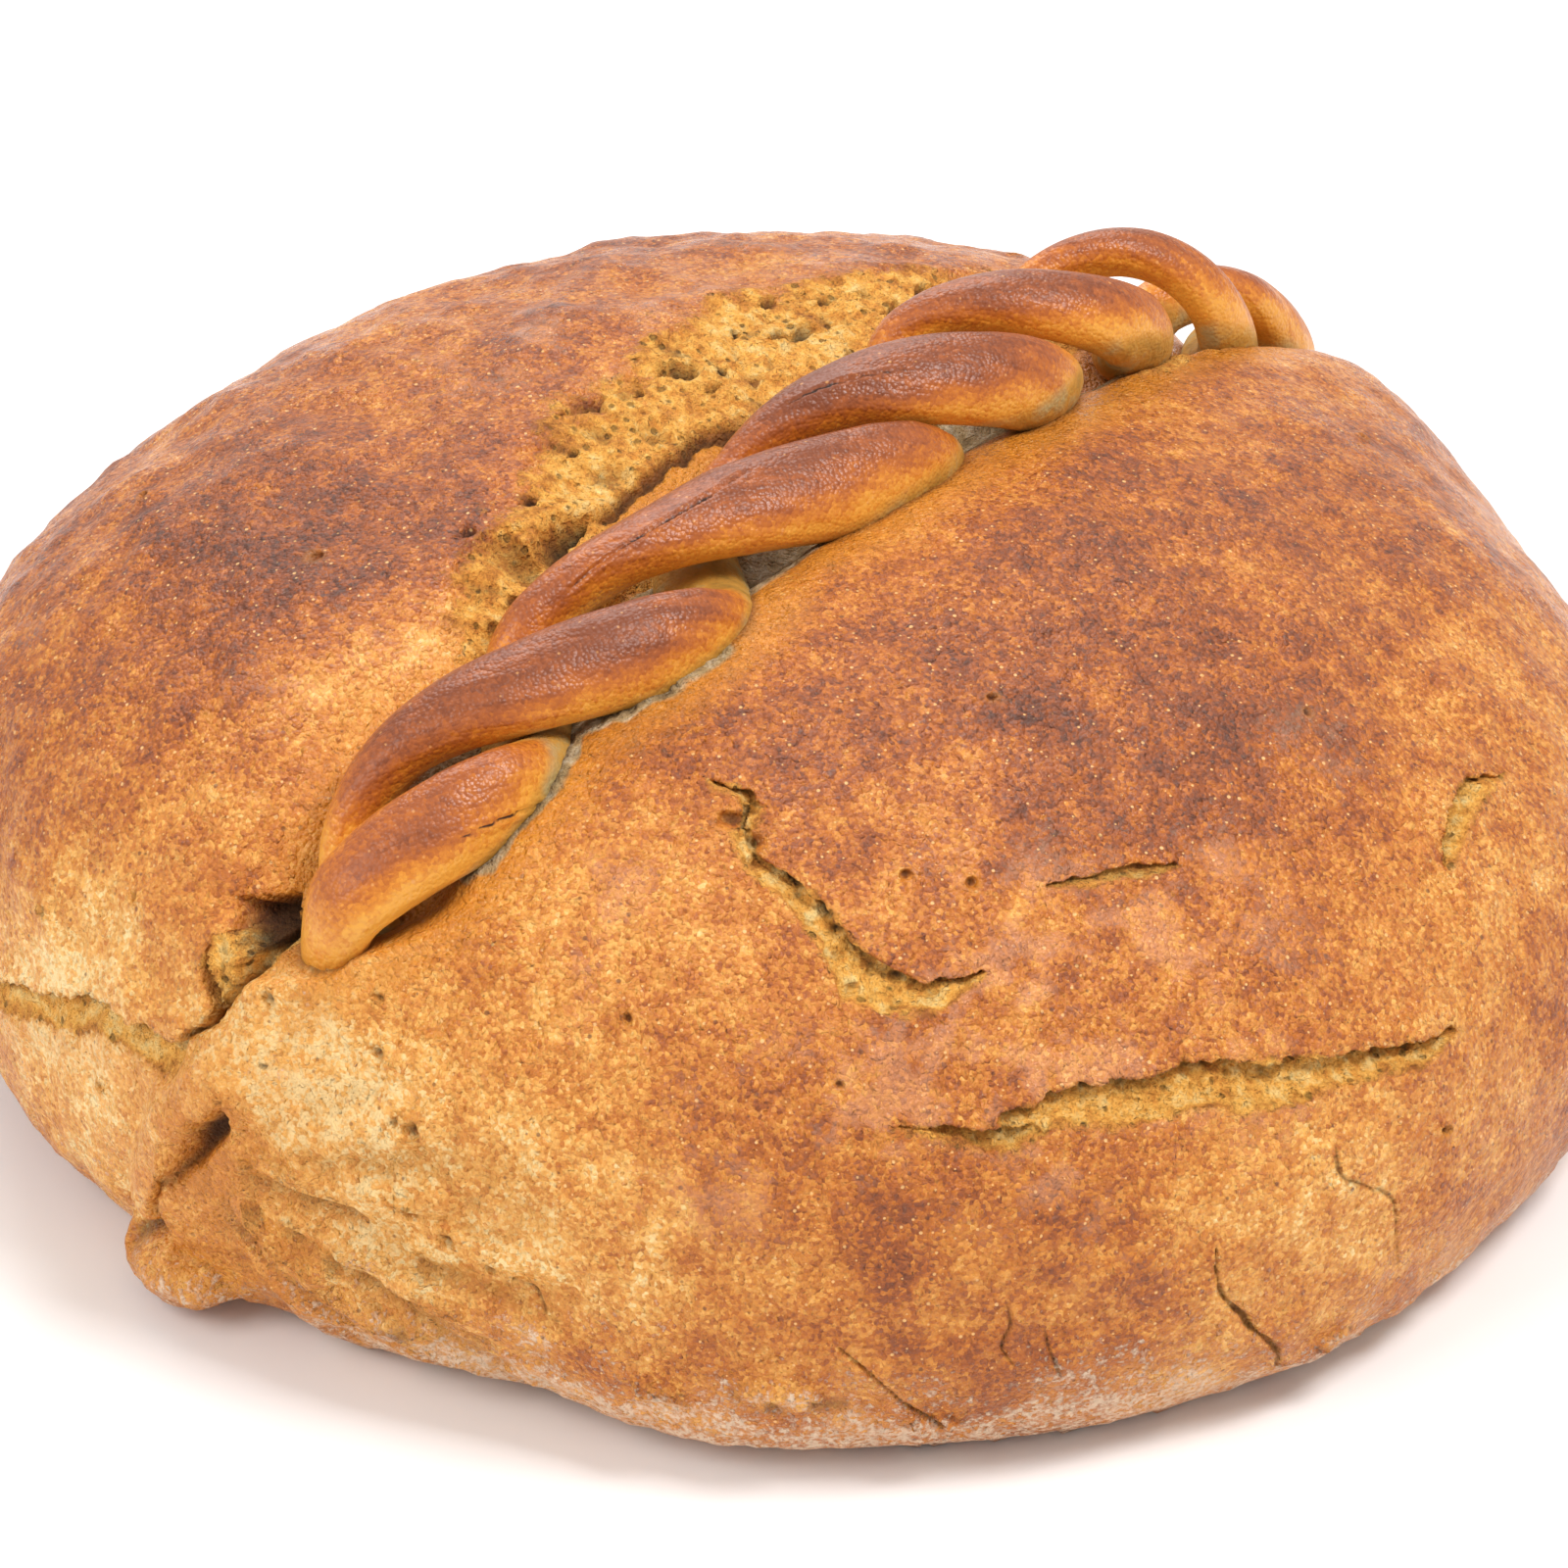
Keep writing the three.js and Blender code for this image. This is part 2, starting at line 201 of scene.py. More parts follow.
def smoothCrust(directions):
    # the crust before its relief, in those directions from the heart
    level = np.hypot(directions[:, 0], directions[:, 1])
    azimuth = np.arctan2(directions[:, 1], directions[:, 0])
    radius = loaf["radius"] + sum(
        size * np.cos(order * azimuth - math.radians(phase)) for order, size, phase in loaf["waves"])
    girth, inset, power = loaf["girth"], loaf["baseInset"], loaf["fullness"]
    climb = np.maximum(directions[:, 2], 0)
    reach = ((level / radius) ** power + (climb / (loaf["height"] - girth)) ** power) ** (-1 / power)
    out = reach * level
    up = girth + reach * climb
    dome = np.arcsin(np.clip(out / radius, 0, 1) ** (power / 2))
    leanX, leanY = loaf["lean"]
    up += (leanX * np.cos(azimuth) + leanY * np.sin(azimuth)) * np.sin(2 * dome)
    below = directions[:, 2] < 0
    fall = np.maximum(-directions[:, 2], 1e-9) / np.maximum(level, 1e-9)
    sine = np.clip(fall * radius / girth, 0, 1)
    for _ in range(14):
        sine = np.clip(fall * (radius - inset * (1 - np.sqrt(1 - sine ** 2))) / girth, 0, 1)
    sideOut = radius - inset * (1 - np.sqrt(1 - sine ** 2))
    under = fall * (radius - inset) > girth
    sideOut = np.where(under, girth / fall, sideOut)
    out = np.where(below, sideOut, out)
    up = np.where(below, np.where(under, 0, girth * (1 - sine)), up)
    lift = 0
    for place, spread, height in loaf["rimLifts"]:
        turned = azimuth - math.radians(place)
        away = np.arctan2(np.sin(turned), np.cos(turned))
        lift = lift + height * bell(away / math.radians(spread))
    lifted = np.where(under, ease(sideOut, radius - inset - 40, radius - inset), ease(sine, 0.3, 1))
    up += np.where(below, lift * lifted, 0)
    return np.stack([out * np.cos(azimuth), out * np.sin(azimuth), up], -1)


def onCrust(places):
    # the crust's points at [azimuth, elevation] places
    wanted = np.array([heading(*place) for place in places])
    tried = wanted.copy()
    for _ in range(6):
        seen = unit(smoothCrust(tried) - heart)
        tried = unit(tried + wanted - seen)
    return smoothCrust(tried)


def bigForms(points, outward):
    relief = patches(outward, loaf["swellings"]) * ease(points[:, 2], 0, 8)
    side = points[:, 1] - valley["y"]
    width = np.where(side > 0, valley["leftWidth"], valley["rightWidth"])
    slanted = valley["leftLip"] + valley["leftSlant"] * np.clip(2 - points[:, 1], 0, 25)
    leftward = points[:, 0] < 0
    above = points[:, 2] - np.where(leftward, slanted, valley["rightLip"])
    sunk = ease(above / np.where(leftward, valley["leftRise"], valley["rightRise"]), 0, 1)
    return relief - valley["depth"] * bell(side / width) * sunk


# Openings in the crust. A crack is a course of [azimuth, elevation] places with its width at each, in mm.
# Its lower edge fades into pale crumb over the last number.

cracks = {
    "zigzag": {
        "course": [(-153, 38), (-149.5, 37), (-149.5, 34), (-148, 32), (-145, 30.5), (-142.5, 28.5),
                   (-140.5, 26), (-138.5, 24), (-134.5, 23.3), (-130.5, 24)],
        "widths": [1.5, 3, 2.5, 3.5, 5.5, 6, 6.5, 7, 5, 1.5], "depth": 2.6, "lip": 0.6, "fade": 2.5,
    },
    "longCrack": {
        "course": [(-130, 15.6), (-126, 15.9), (-121, 15.4), (-117, 15.4), (-112.5, 14.4), (-108, 13.7),
                   (-104, 12.9), (-100, 12.1), (-97, 12)],
        "widths": [2, 6, 7.5, 6.5, 7.5, 7, 5, 3, 1], "depth": 3, "lip": 0.9, "fade": 3,
    },
    "longCrackTail": {
        "course": [(-137, 15.6), (-134, 15.2), (-131, 14.5), (-128.5, 14.6)],
        "widths": [0.8, 2.6, 3.4, 2], "depth": 2.6, "lip": 0.7, "fade": 4,
    },
    "rightCrack": {
        "course": [(-76.5, 21), (-80, 22), (-84, 21.5), (-88.5, 20)],
        "widths": [1.5, 5, 4, 1.5], "depth": 2, "lip": 0.6, "fade": 3,
    },
    "smallCrack": {
        "course": [(-123, 29), (-117.5, 28.7), (-111.5, 28)],
        "widths": [1, 2.6, 1], "depth": 1.6, "lip": 0.3, "fade": 3,
    },
    "pinchSlitLeft": {
        "course": [(171.8, 17.4), (172.2, 16), (173, 15), (173.8, 14), (173.4, 12.6), (172.3, 11.6)],
        "widths": [1, 2, 2.2, 1.8, 2.2, 1.4], "depth": 4.5, "lip": 0.6, "fade": 0.6,
    },
    "pinchSlitRight": {
        "course": [(175.7, 19.6), (175.6, 17.6), (175.3, 16.4), (174.8, 15.2), (174.4, 14), (173.8, 13)],
        "widths": [5, 5.5, 4.5, 3, 2, 1.5], "depth": 6.5, "lip": 1, "fade": 1.2,
    },
    "thinA": {
        "course": [(-117.5, 5), (-117.5, 3.5), (-117, 1.5), (-115.5, -0.5), (-115, -1.5), (-113, -4),
                   (-112, -6.5)],
        "widths": [0.3, 0.9, 0.7, 1.2, 0.8, 1.1, 0.9], "depth": 1.3, "lip": 0.2, "fade": 0.3,
    },
    "thinB": {
        "course": [(-108, 11), (-108.5, 7.5), (-107, 6), (-104.5, 4), (-104, 1), (-103.5, -1.5)],
        "widths": [0.3, 0.6, 0.5, 0.7, 0.5, 0.3], "depth": 0.8, "lip": 0.1, "fade": 0.3,
    },
    "thinC": {
        "course": [(-141, 1), (-139, -1), (-136.5, -4), (-133.5, -6.5)],
        "widths": [0.3, 0.8, 1.1, 0.6], "depth": 1.2, "lip": 0.2, "fade": 0.3,
    },
    "thinD": {
        "course": [(-128.5, 1.5), (-128.2, 0), (-127.5, -2)],
        "widths": [0.3, 0.7, 0.4], "depth": 0.8, "lip": 0.1, "fade": 0.3,
    },
    "thinE": {
        "course": [(-162, 2.5), (-160.5, 2), (-159.5, -0.5)],
        "widths": [0.3, 0.7, 0.4], "depth": 0.7, "lip": 0.1, "fade": 0.3,
    },
    "thinF": {
        "course": [(-130.9, 4), (-130.7, 2.3), (-131.2, 0.8), (-130.5, -0.6)],
        "widths": [0.2, 0.5, 0.4, 0.2], "depth": 0.7, "lip": 0.1, "fade": 0.3,
    },
    "rimSplit": {
        "course": [(-112.5, -6.2), (-108, -7.5), (-101, -7.7), (-97, -6.8)],
        "widths": [0.6, 1.6, 1.4, 0.4], "depth": 1.8, "lip": 0.6, "fade": 0.4,
    },
    "backSplit": {
        "course": [(62, 8), (55, 7), (49, 8.5), (42, 8), (36, 9.5)],
        "widths": [1, 4, 5.5, 4, 1], "depth": 2.6, "lip": 0.8, "fade": 3,
    },
    "farSplit": {
        "course": [(-28, 4), (-23, 5.5), (-18, 5), (-13, 6.5)],
        "widths": [0.8, 3, 3.4, 1], "depth": 2, "lip": 0.6, "fade": 2.5,
    },
}

# Small open bubbles in the skin: azimuth, elevation, diameter
skinPores = [
    (178.8, 16.7, 2.6), (-174.2, 18.7, 1.8), (-173.3, 15.2, 2.6), (-169.7, 11.1, 3), (-171, 11.4, 1.8),
    (-169.4, 5.5, 2.2), (-166.7, 4.1, 3.2), (179.4, 12.4, 1.2), (176.8, 9.2, 1.4), (164.6, 3.9, 1.6),
    (163.8, 17.3, 1.8), (156.4, 12.5, 1.6), (-163.6, 2.9, 1.8), (-135, 31, 2), (-129.5, 30, 2.2),
    (-99.5, 6.5, 1.8), (-169.5, 5.5, 2), (147, 40.5, 2.4), (-169.5, 11.5, 1.8), (-151, 35, 3.4),
    (-148, 33.5, 3), (-120, 45, 1.6), (-88, 33, 1.6), (-141, 18, 1.6), (-156, 21, 1.8), (-60, 18, 1.8),
    (-30, 30, 1.8), (20, 25, 2), (48, 20, 2.2), (80, 28, 2), (105, 18, 1.8), (125, 30, 1.8), (95, 12, 1.8),
]

# Scabs of lifted skin along the rim: azimuth, elevation, length, height
flakes = [(-144.7, -2.8, 15, 5), (-152.5, -3.6, 7, 3), (-135, -5.5, 8, 3), (-171.5, -4.5, 9, 3.5),
          (-108, -5.6, 7, 2.6), (-60, -5, 9, 3), (35, -5, 10, 3.5), (95, -6, 8, 3)]

# Torn crumb beside the rope on the back lobe, seen from above: x along the rope and y across it, in mm
tear = {
    "outline": [(-96, -20), (-89, 11), (-78, 19), (-69, 24), (-62, 30), (-51, 28), (-39, 32), (-33, 39),
                (-19, 42), (-1, 42), (17, 45), (31, 48), (45, 45), (57, 41), (80, 37), (92, 28),
                (106, -20)],
    "sink": 3, "step": 0.6,
    "ledge": [(-41, 21.5), (-33, 23.5), (-22, 24.5), (-11, 24.5), (0, 24), (5, 21.5), (13, 20.5)],
    "ledgeDrop": 1.7, "overhang": 1.2,
    "cavity": [(-58, 18), (-51, 19.5), (-45, 20.5), (-39, 22.5), (-43, 26), (-50, 25.8), (-56, 23)],
    "cavityDepth": 7.5,
    "pocket": [(-64, 20), (-63, 26), (-58, 29.5), (-54, 27), (-56, 21), (-60, 17)],
    "pocketDepth": 3.5,
    # x, y, length, width, depth, turn in degrees
    "pores": [(-75, 13.5, 4.5, 6, 5, 20), (-71.5, 11.5, 4, 6, 5, 20), (-68, 18, 3.4, 2.6, 2.4, 0),
              (-59, 31, 4, 2.6, 2, 0), (-15.5, 40.5, 9, 1.8, 2.6, -10), (6, 37.5, 9, 4.6, 4, -35),
              (7.5, 31, 4, 2, 2, 0), (14, 34, 2.6, 1.8, 1.6, 0), (-5, 37, 2.2, 2.2, 1.8, 0),
              (38, 34, 12, 4, 3.4, -10), (32, 35.5, 4, 3, 2.4, 0), (41, 44, 5, 2.2, 2.2, 0),
              (41, 23.5, 7, 4, 4, 0), (50, 38, 5, 2, 2, 0), (61, 30, 6, 3, 3, 0), (72, 32, 5, 2.6, 2.4, 0),
              (26, 40, 4, 2, 1.6, 20), (-28, 34, 3, 2, 1.6, 0), (-45, 30, 3.4, 2, 1.8, 0),
              (80, 24, 5, 3, 2.6, 0)],
}

# The pinched end of the two lobes below the rope's left end
pinch = {
    "tearLine": [(142, 2), (147, 3.6), (152, 5.5), (154.9, 6.6), (157.9, 7.7), (160.6, 8.9), (163.6, 10.1),
                 (166.5, 10.6), (169.7, 11), (172.6, 11.6)],
    "tearDrop": 2.6, "bandHeight": 9,
    "ridge": [(-180, 17.5), (177.6, 14), (175.8, 11), (173.9, 8), (172, 4.7), (170.6, 0.9), (169, -3)],
    "ridgeHeights": [2, 4, 4.6, 4.4, 4.2, 3.8, 3], "ridgeLeft": 8, "ridgeRight": (15, 7.5),
    "crease": [(176.6, 8), (176, 6.8), (175, 5.5), (173.8, 3.3), (171.9, 0.4), (170.2, -2.8)],
    "creaseWidths": [2.5, 5, 3, 2.2, 2.2, 3], "creaseDepth": 4,
    "hole": [(170.9, 20.3), (172.5, 20.7), (174.3, 21.8), (175, 19.8), (176, 17.9), (174.8, 17.3),
             (172.4, 18.9)],
    "holeDepth": 8,
    "tongue": [(171.9, 18.1), (173.1, 18.9), (174.8, 18), (175, 16.6), (174.5, 15.4), (174.2, 14.2),
               (173, 15.4)],
    "lip": [(174.6, 16.6), (176.7, 17), (178.7, 18), (-179, 18.6), (-177.7, 19.5), (-176.2, 21.2),
            (-173.7, 22.7), (-171.4, 24.6)],
    "tip": (170, -7), "tipSize": (15, 25, 15), "tipOut": 0.5, "tipLift": 1,
    "hollow": [(166.8, -7), (168, -5.6), (169.7, -4.2)], "hollowWidths": [3, 4.5, 3], "hollowDepth": 3.5,
    "skinEdge": [(171.6, 0), (171.4, -1.8), (171.8, -3.6), (172.4, -5.6), (173.6, -7.4)],
    "wrinkles": (174, 3.5), "floury": (-179.2, 12.6),
}

# The far end, where the lobes are pinched below the rope's arch
farPinch = {
    "ridge": [(-2, 9), (-4, 4), (-3, 0), (0, -5)], "heights": [4.5, 4.5, 4.2, 3], "halfWidth": 7.5,
    "crease": [(3, 8), (3.6, 4), (2.4, -1)], "creaseWidths": [2, 4, 2], "creaseDepth": 3.5,
    "wrinkles": (1, 4),
}


def besideCourse(points, course, widths=(0, 0), reach=22):
    # how far each point lies inside the edge of the course, which side it is on, the share of the way along
    # and the direction across
    line = smoothLine(onCrust(course))
    steps = np.linalg.norm(np.diff(line, axis=0), axis=1)
    share = np.concatenate([[0], np.cumsum(steps)]) / steps.sum()
    half = np.interp(share, np.linspace(0, 1, len(widths)), widths) / 2
    inside = np.full(len(points), -99.0)
    side = np.zeros(len(points))
    along = np.zeros(len(points))
    across = np.zeros_like(points)
    middle = line.mean(0)
    widest = np.linalg.norm(line - middle, axis=1).max() + reach
    close = np.flatnonzero(np.linalg.norm(points - middle, axis=1) < widest)
    if len(close):
        gaps = np.linalg.norm(points[close, None] - line[None], axis=2)
        nearest = gaps.argmin(1)
        tangent = unit(np.gradient(line, axis=0))[nearest]
        offset = points[close] - line[nearest]
        leftward = unit(np.cross(unit(points[close] - heart), tangent))
        inside[close] = half[nearest] - gaps.min(1)
        side[close] = (offset * leftward).sum(1)
        along[close] = share[nearest]
        across[close] = leftward
    return inside, side, along, across


def chart(points, place):
    # how far right and up each point lies from a place on the crust, in mm
    centre = onCrust([place])[0]
    out = heading(*place)
    right = unit(np.cross([0, 0, 1.0], out))
    offset = points - centre
    return offset @ right, offset @ np.cross(out, right)


def insideOutline(x, y, corners):
    # distance inside a closed outline, negative outside it
    nearest = np.full(len(x), 1e9)
    crossed = np.zeros(len(x), bool)
    for (ax, ay), (bx, by) in zip(corners, corners[1:] + corners[:1]):
        dx, dy = bx - ax, by - ay
        share = np.clip(((x - ax) * dx + (y - ay) * dy) / (dx * dx + dy * dy), 0, 1)
        nearest = np.minimum(nearest, np.hypot(x - ax - share * dx, y - ay - share * dy))
        passes = (ay > y) != (by > y)
        crossed ^= passes & (x < ax + (y - ay) * dx / (dy if abs(dy) > 1e-9 else 1e-9))
    return np.where(crossed, nearest, -nearest)


def insidePlaces(points, corners):
    # the same for an outline of [azimuth, elevation] places
    right, up = chart(points, corners[0])
    places = onCrust(corners)
    cornerRight, cornerUp = chart(places, corners[0])
    return insideOutline(right, up, list(zip(cornerRight, cornerUp)))


def table(rows, x):
    return np.interp(x, [row[0] for row in rows], [row[1] for row in rows])


def tornInside(points):
    # how far inside the torn crumb a point lies
    x, y = points[:, 0], points[:, 1]
    inside = np.minimum(table(tear["outline"], x) - y, y - 5)
    return np.where(points[:, 2] > 60, inside, -99)


def detailNeed(points):
    # 0 for plain crust, 1 where the relief is fine and 2 where it is finest
    need = np.zeros(len(points), int)

    def ask(finest, fine):
        need[:] = np.maximum(need, np.where(finest, 2, np.where(fine, 1, 0)))

    for crack in cracks.values():
        inside = besideCourse(points, crack["course"], crack["widths"])[0]
        ask(inside > -1.6, inside > -5)
    torn = tornInside(points)
    ask(torn > -1, torn > -5)
    inside, side, along, across = besideCourse(points, pinch["tearLine"])
    ask((inside > -8) & (side < 3), inside > -12)
    for name, finest, fine in (("crease", 4, 9), ("hollow", 4, 8), ("skinEdge", 3, 8), ("lip", 3, 7),
                               ("ridge", 0, 12)):
        inside = besideCourse(points, pinch[name])[0]
        ask(inside > -finest, inside > -fine)
    for name in ("hole", "tongue"):
        inside = insidePlaces(points, pinch[name]) - 50 * (points[:, 0] > 0)
        ask(inside > -3, False)
    inside = besideCourse(points, farPinch["crease"])[0]
    ask(inside > -3, inside > -10)
    outward = unit(points - heart)
    for azimuth, elevation, size in skinPores:
        ask(mmAway(outward, azimuth, elevation) < size * 0.9 + 1, False)
    onTop = points[:, 2] > 70
    seam = onTop & (points[:, 0] > -128) & (points[:, 0] < 95)
    ask(False, seam & (np.abs(points[:, 1] + 18.5) < 5))
    under = onTop & (np.abs(points[:, 1] - valley["y"]) < 9) & (np.abs(points[:, 0]) < 118)
    return np.where(under, 0, need)


# The loaf is blocked out as a box seen from its heart, then every point is moved out to the crust

blank = {"low": -0.32, "high": 0.62, "rows": 54, "columns": (8, 15), "underside": (0.66, 0.5, 0.3)}


def blockOut():
    deselectAll()
    middle = (blank["low"] + blank["high"]) / 2
    halfHeight = (blank["high"] - blank["low"]) / 2
    bpy.ops.mesh.primitive_cube_add(size=2, location=(0, 0, middle), scale=(1, 1, halfHeight))
    crust = bpy.context.object
    crust.name = "loafCrust"
    bpy.ops.object.transform_apply(location=True, rotation=True, scale=True)
    editFaces(crust, lambda centres: centres[:, 2] < blank["low"] + 0.01)
    bpy.ops.mesh.delete(type="ONLY_FACE")
    bpy.ops.object.mode_set(mode="OBJECT")
    editEdges(crust, lambda middle, direction: abs(direction.z) > 0.9)
    bpy.ops.mesh.subdivide(number_cuts=blank["rows"] - 1)
    bpy.ops.object.mode_set(mode="OBJECT")
    for columns in blank["columns"]:
        editEdges(crust, lambda middle, direction: abs(direction.z) < 0.1)
        bpy.ops.mesh.subdivide(number_cuts=columns - 1)
        bpy.ops.object.mode_set(mode="OBJECT")
    editEdges(crust, lambda middle, direction: middle.z < blank["low"] + 0.001)
    for share in blank["underside"]:
        bpy.ops.mesh.extrude_edges_move()
        bpy.ops.transform.resize(value=(share, share, 1), center_override=(0, 0, blank["low"]))
    bpy.ops.mesh.merge(type="CENTER")
    bpy.ops.object.mode_set(mode="OBJECT")
    for level in (1, 2):
        editFaces(crust, lambda centres: detailNeed(smoothCrust(unit(centres))) >= level)
        bpy.ops.mesh.subdivide(number_cuts=1)
        bpy.ops.object.mode_set(mode="OBJECT")
    return crust


# Relief. skin holds the height, the sideways slide and the finishes of every point of the crust, with its
# painted shade and painted sheen.

def openCracks(points, skin):
    for seed, crack in enumerate(cracks.values()):
        inside, side, along, across = besideCourse(points, crack["course"], crack["widths"])
        close = np.flatnonzero(inside > -9)
        p, inside, side, across = points[close], inside[close], side[close], across[close]
        wide = min(max(crack["widths"]) / 5, 1)
        edge = inside + wide * (1.5 * lumps(p, 9, 1, 55 + seed) + lumps(p, 4, 2, 5 + seed)
                                + 0.6 * lumps(p, 1.6, 1, 6))
        upper = np.where(across[:, 2] * side > 0, 1, 0.35)
        opened = ease(edge, -0.35 - 0.3 * wide, 0.25 + 0.3 * wide)
        walls = bubbles(p, 3.2, 7) * 1.3 + bubbles(p, 1.7, 8) * 0.6
        depth = crack["depth"] * (0.65 + 0.35 * ease(edge, 0, 2.4))
        depth += wide * (walls - 0.7 + 0.5 * lumps(p, 2.2, 2, 9))
        under = bell((inside - 0.8) / 1.2) * (upper > 0.5) * wide
        skin["relief"][close] -= opened * (depth + 0.9 * under)
        skin["relief"][close] += (1 - opened) * crack["lip"] * upper * bell(edge / 3)
        overhang = -np.sign(side) * upper * (1 - opened) * 1.1 * wide * bell(edge / 1.5)
        skin["slide"][close] += across * overhang[:, None]
        fade = np.where(upper > 0.5, 0.8, crack["fade"])
        pale = ease(inside + 0.8 * lumps(p, 5, 2, 10), -fade - 0.4, 0.5)
        raiseTo(skin, "crumb", close, np.maximum(ease(edge, -0.7, 0.3), 0.75 * pale) * (0.4 + 0.6 * wide))
        # painted shade: the pits in a crack, and the whole opening of a narrow one, are darkened where
        # shade falls inside
        pit = opened * np.clip(walls / 1.5 + under * 0.8 - 0.35, 0, 1)
        raiseTo(skin, "paintedShade", close, np.maximum(pit, opened * (1 - wide) * 0.8))


def tearCrumb(points, skin):
    close = np.flatnonzero(tornInside(points) > -9)
    p = points[close]
    x, y = p[:, 0], p[:, 1]
    rag = 2.4 * lumps(p, 11, 2, 21) + 1.3 * lumps(p, 3.2, 2, 22)
    inside = table(tear["outline"], x) - y + rag
    crumb = ease(inside, -1.2, 2.6)
    tinted = ease(inside + 3 * lumps(p, 7, 3, 19), -9, 7)
    tinted *= 0.78 + 0.22 * ease(lumps(p, 14, 2, 18), -0.2, 0.2)
    grains = 0.95 * lumps(p, 4.2, 3, 23) + 0.5 * lumps(p, 1.7, 2, 24)
    shreds = 0.55 * lumps(p * np.array([0.35, 1, 1]), 2.6, 2, 25)
    pits = 1.7 * bubbles(p, 6.5, 26) * ease(lumps(p, 17, 1, 20), -0.2, 0.3) + 0.8 * bubbles(p, 2.8, 27)
    ledge = y - table(tear["ledge"], x) + 1.2 * lumps(p, 5.5, 2, 28) + 0.6 * lumps(p, 1.9, 1, 29)
    window = ease(x, -42, -37) * (1 - ease(x, 11, 16))
    below = window * (1 - ease(ledge, -1, 0.3))
    relief = -tear["sink"] * ease(inside, -3, 15) - tear["step"] * ease(inside, -0.5, 1)
    relief += crumb * (grains + shreds - pits) * (1 - 0.92 * below)
    relief -= tear["ledgeDrop"] * below + window * 1.1 * bell((ledge + 0.9) / 0.8)
    relief += 0.25 * below * lumps(p * np.array([0.2, 1, 1]), 2.4, 2, 30)
    relief += window * 0.7 * bell((ledge - 1.4) / 1.6)
    slide = -window * tear["overhang"] * bell((ledge - 0.5) / 1.5)
    # painted shadow in a band just under the overhanging ledge, and painted shade in the cut pits
    paintedShade = window * bell((ledge + 0.8) / 0.75) * 0.95
    paintedShade += 0.55 * crumb * np.clip(pits - 0.5, 0, 1) * (1 - below)
    cavity = insideOutline(x, y, tear["cavity"]) + 0.8 * lumps(p, 4, 2, 31)
    relief -= tear["cavityDepth"] * ease(cavity, -0.6, 2.4)
    upper = ease(y, 22, 25.5) * (1 - ease(x, -40, -34)) * ease(x, -62, -56)
    slide -= 2.4 * upper * bell((cavity + 0.8) / 1.6)
    relief += 0.8 * upper * bell((cavity + 1.4) / 1.5)
    # painted shade in the cavity; the pocket and the pores below get it too
    paintedShade = np.maximum(paintedShade, ease(cavity, -0.2, 1.8))
    pocket = insideOutline(x, y, tear["pocket"]) + 0.9 * lumps(p, 3.5, 2, 32)
    relief -= tear["pocketDepth"] * ease(pocket, -1, 3)
    paintedShade = np.maximum(paintedShade, 0.5 * ease(pocket, -0.4, 3))
    for poreX, poreY, length, width, depth, turn in tear["pores"]:
        cosine, sine = math.cos(math.radians(turn)), math.sin(math.radians(turn))
        alongX = ((x - poreX) * cosine + (y - poreY) * sine) / (length / 2)
        acrossY = ((y - poreY) * cosine - (x - poreX) * sine) / (width / 2)
        hollow = 1 - np.hypot(alongX, acrossY) + 0.25 * grains
        relief -= depth * ease(hollow, -0.2, 0.6)
        slide -= 0.9 * bell((hollow + 0.15) / 0.3) * (acrossY > 0)
        paintedShade = np.maximum(paintedShade, ease(hollow + 0.25 * acrossY, 0, 0.7))
    shown = ease(y, 5, 9)
    skin["relief"][close] += relief * shown
    skin["slide"][close, 1] += slide * shown
    raiseTo(skin, "crumb", close, tinted * shown * (1 - 0.75 * below))
    raiseTo(skin, "gold", close, below)
    raiseTo(skin, "paintedShade", close, paintedShade * shown)


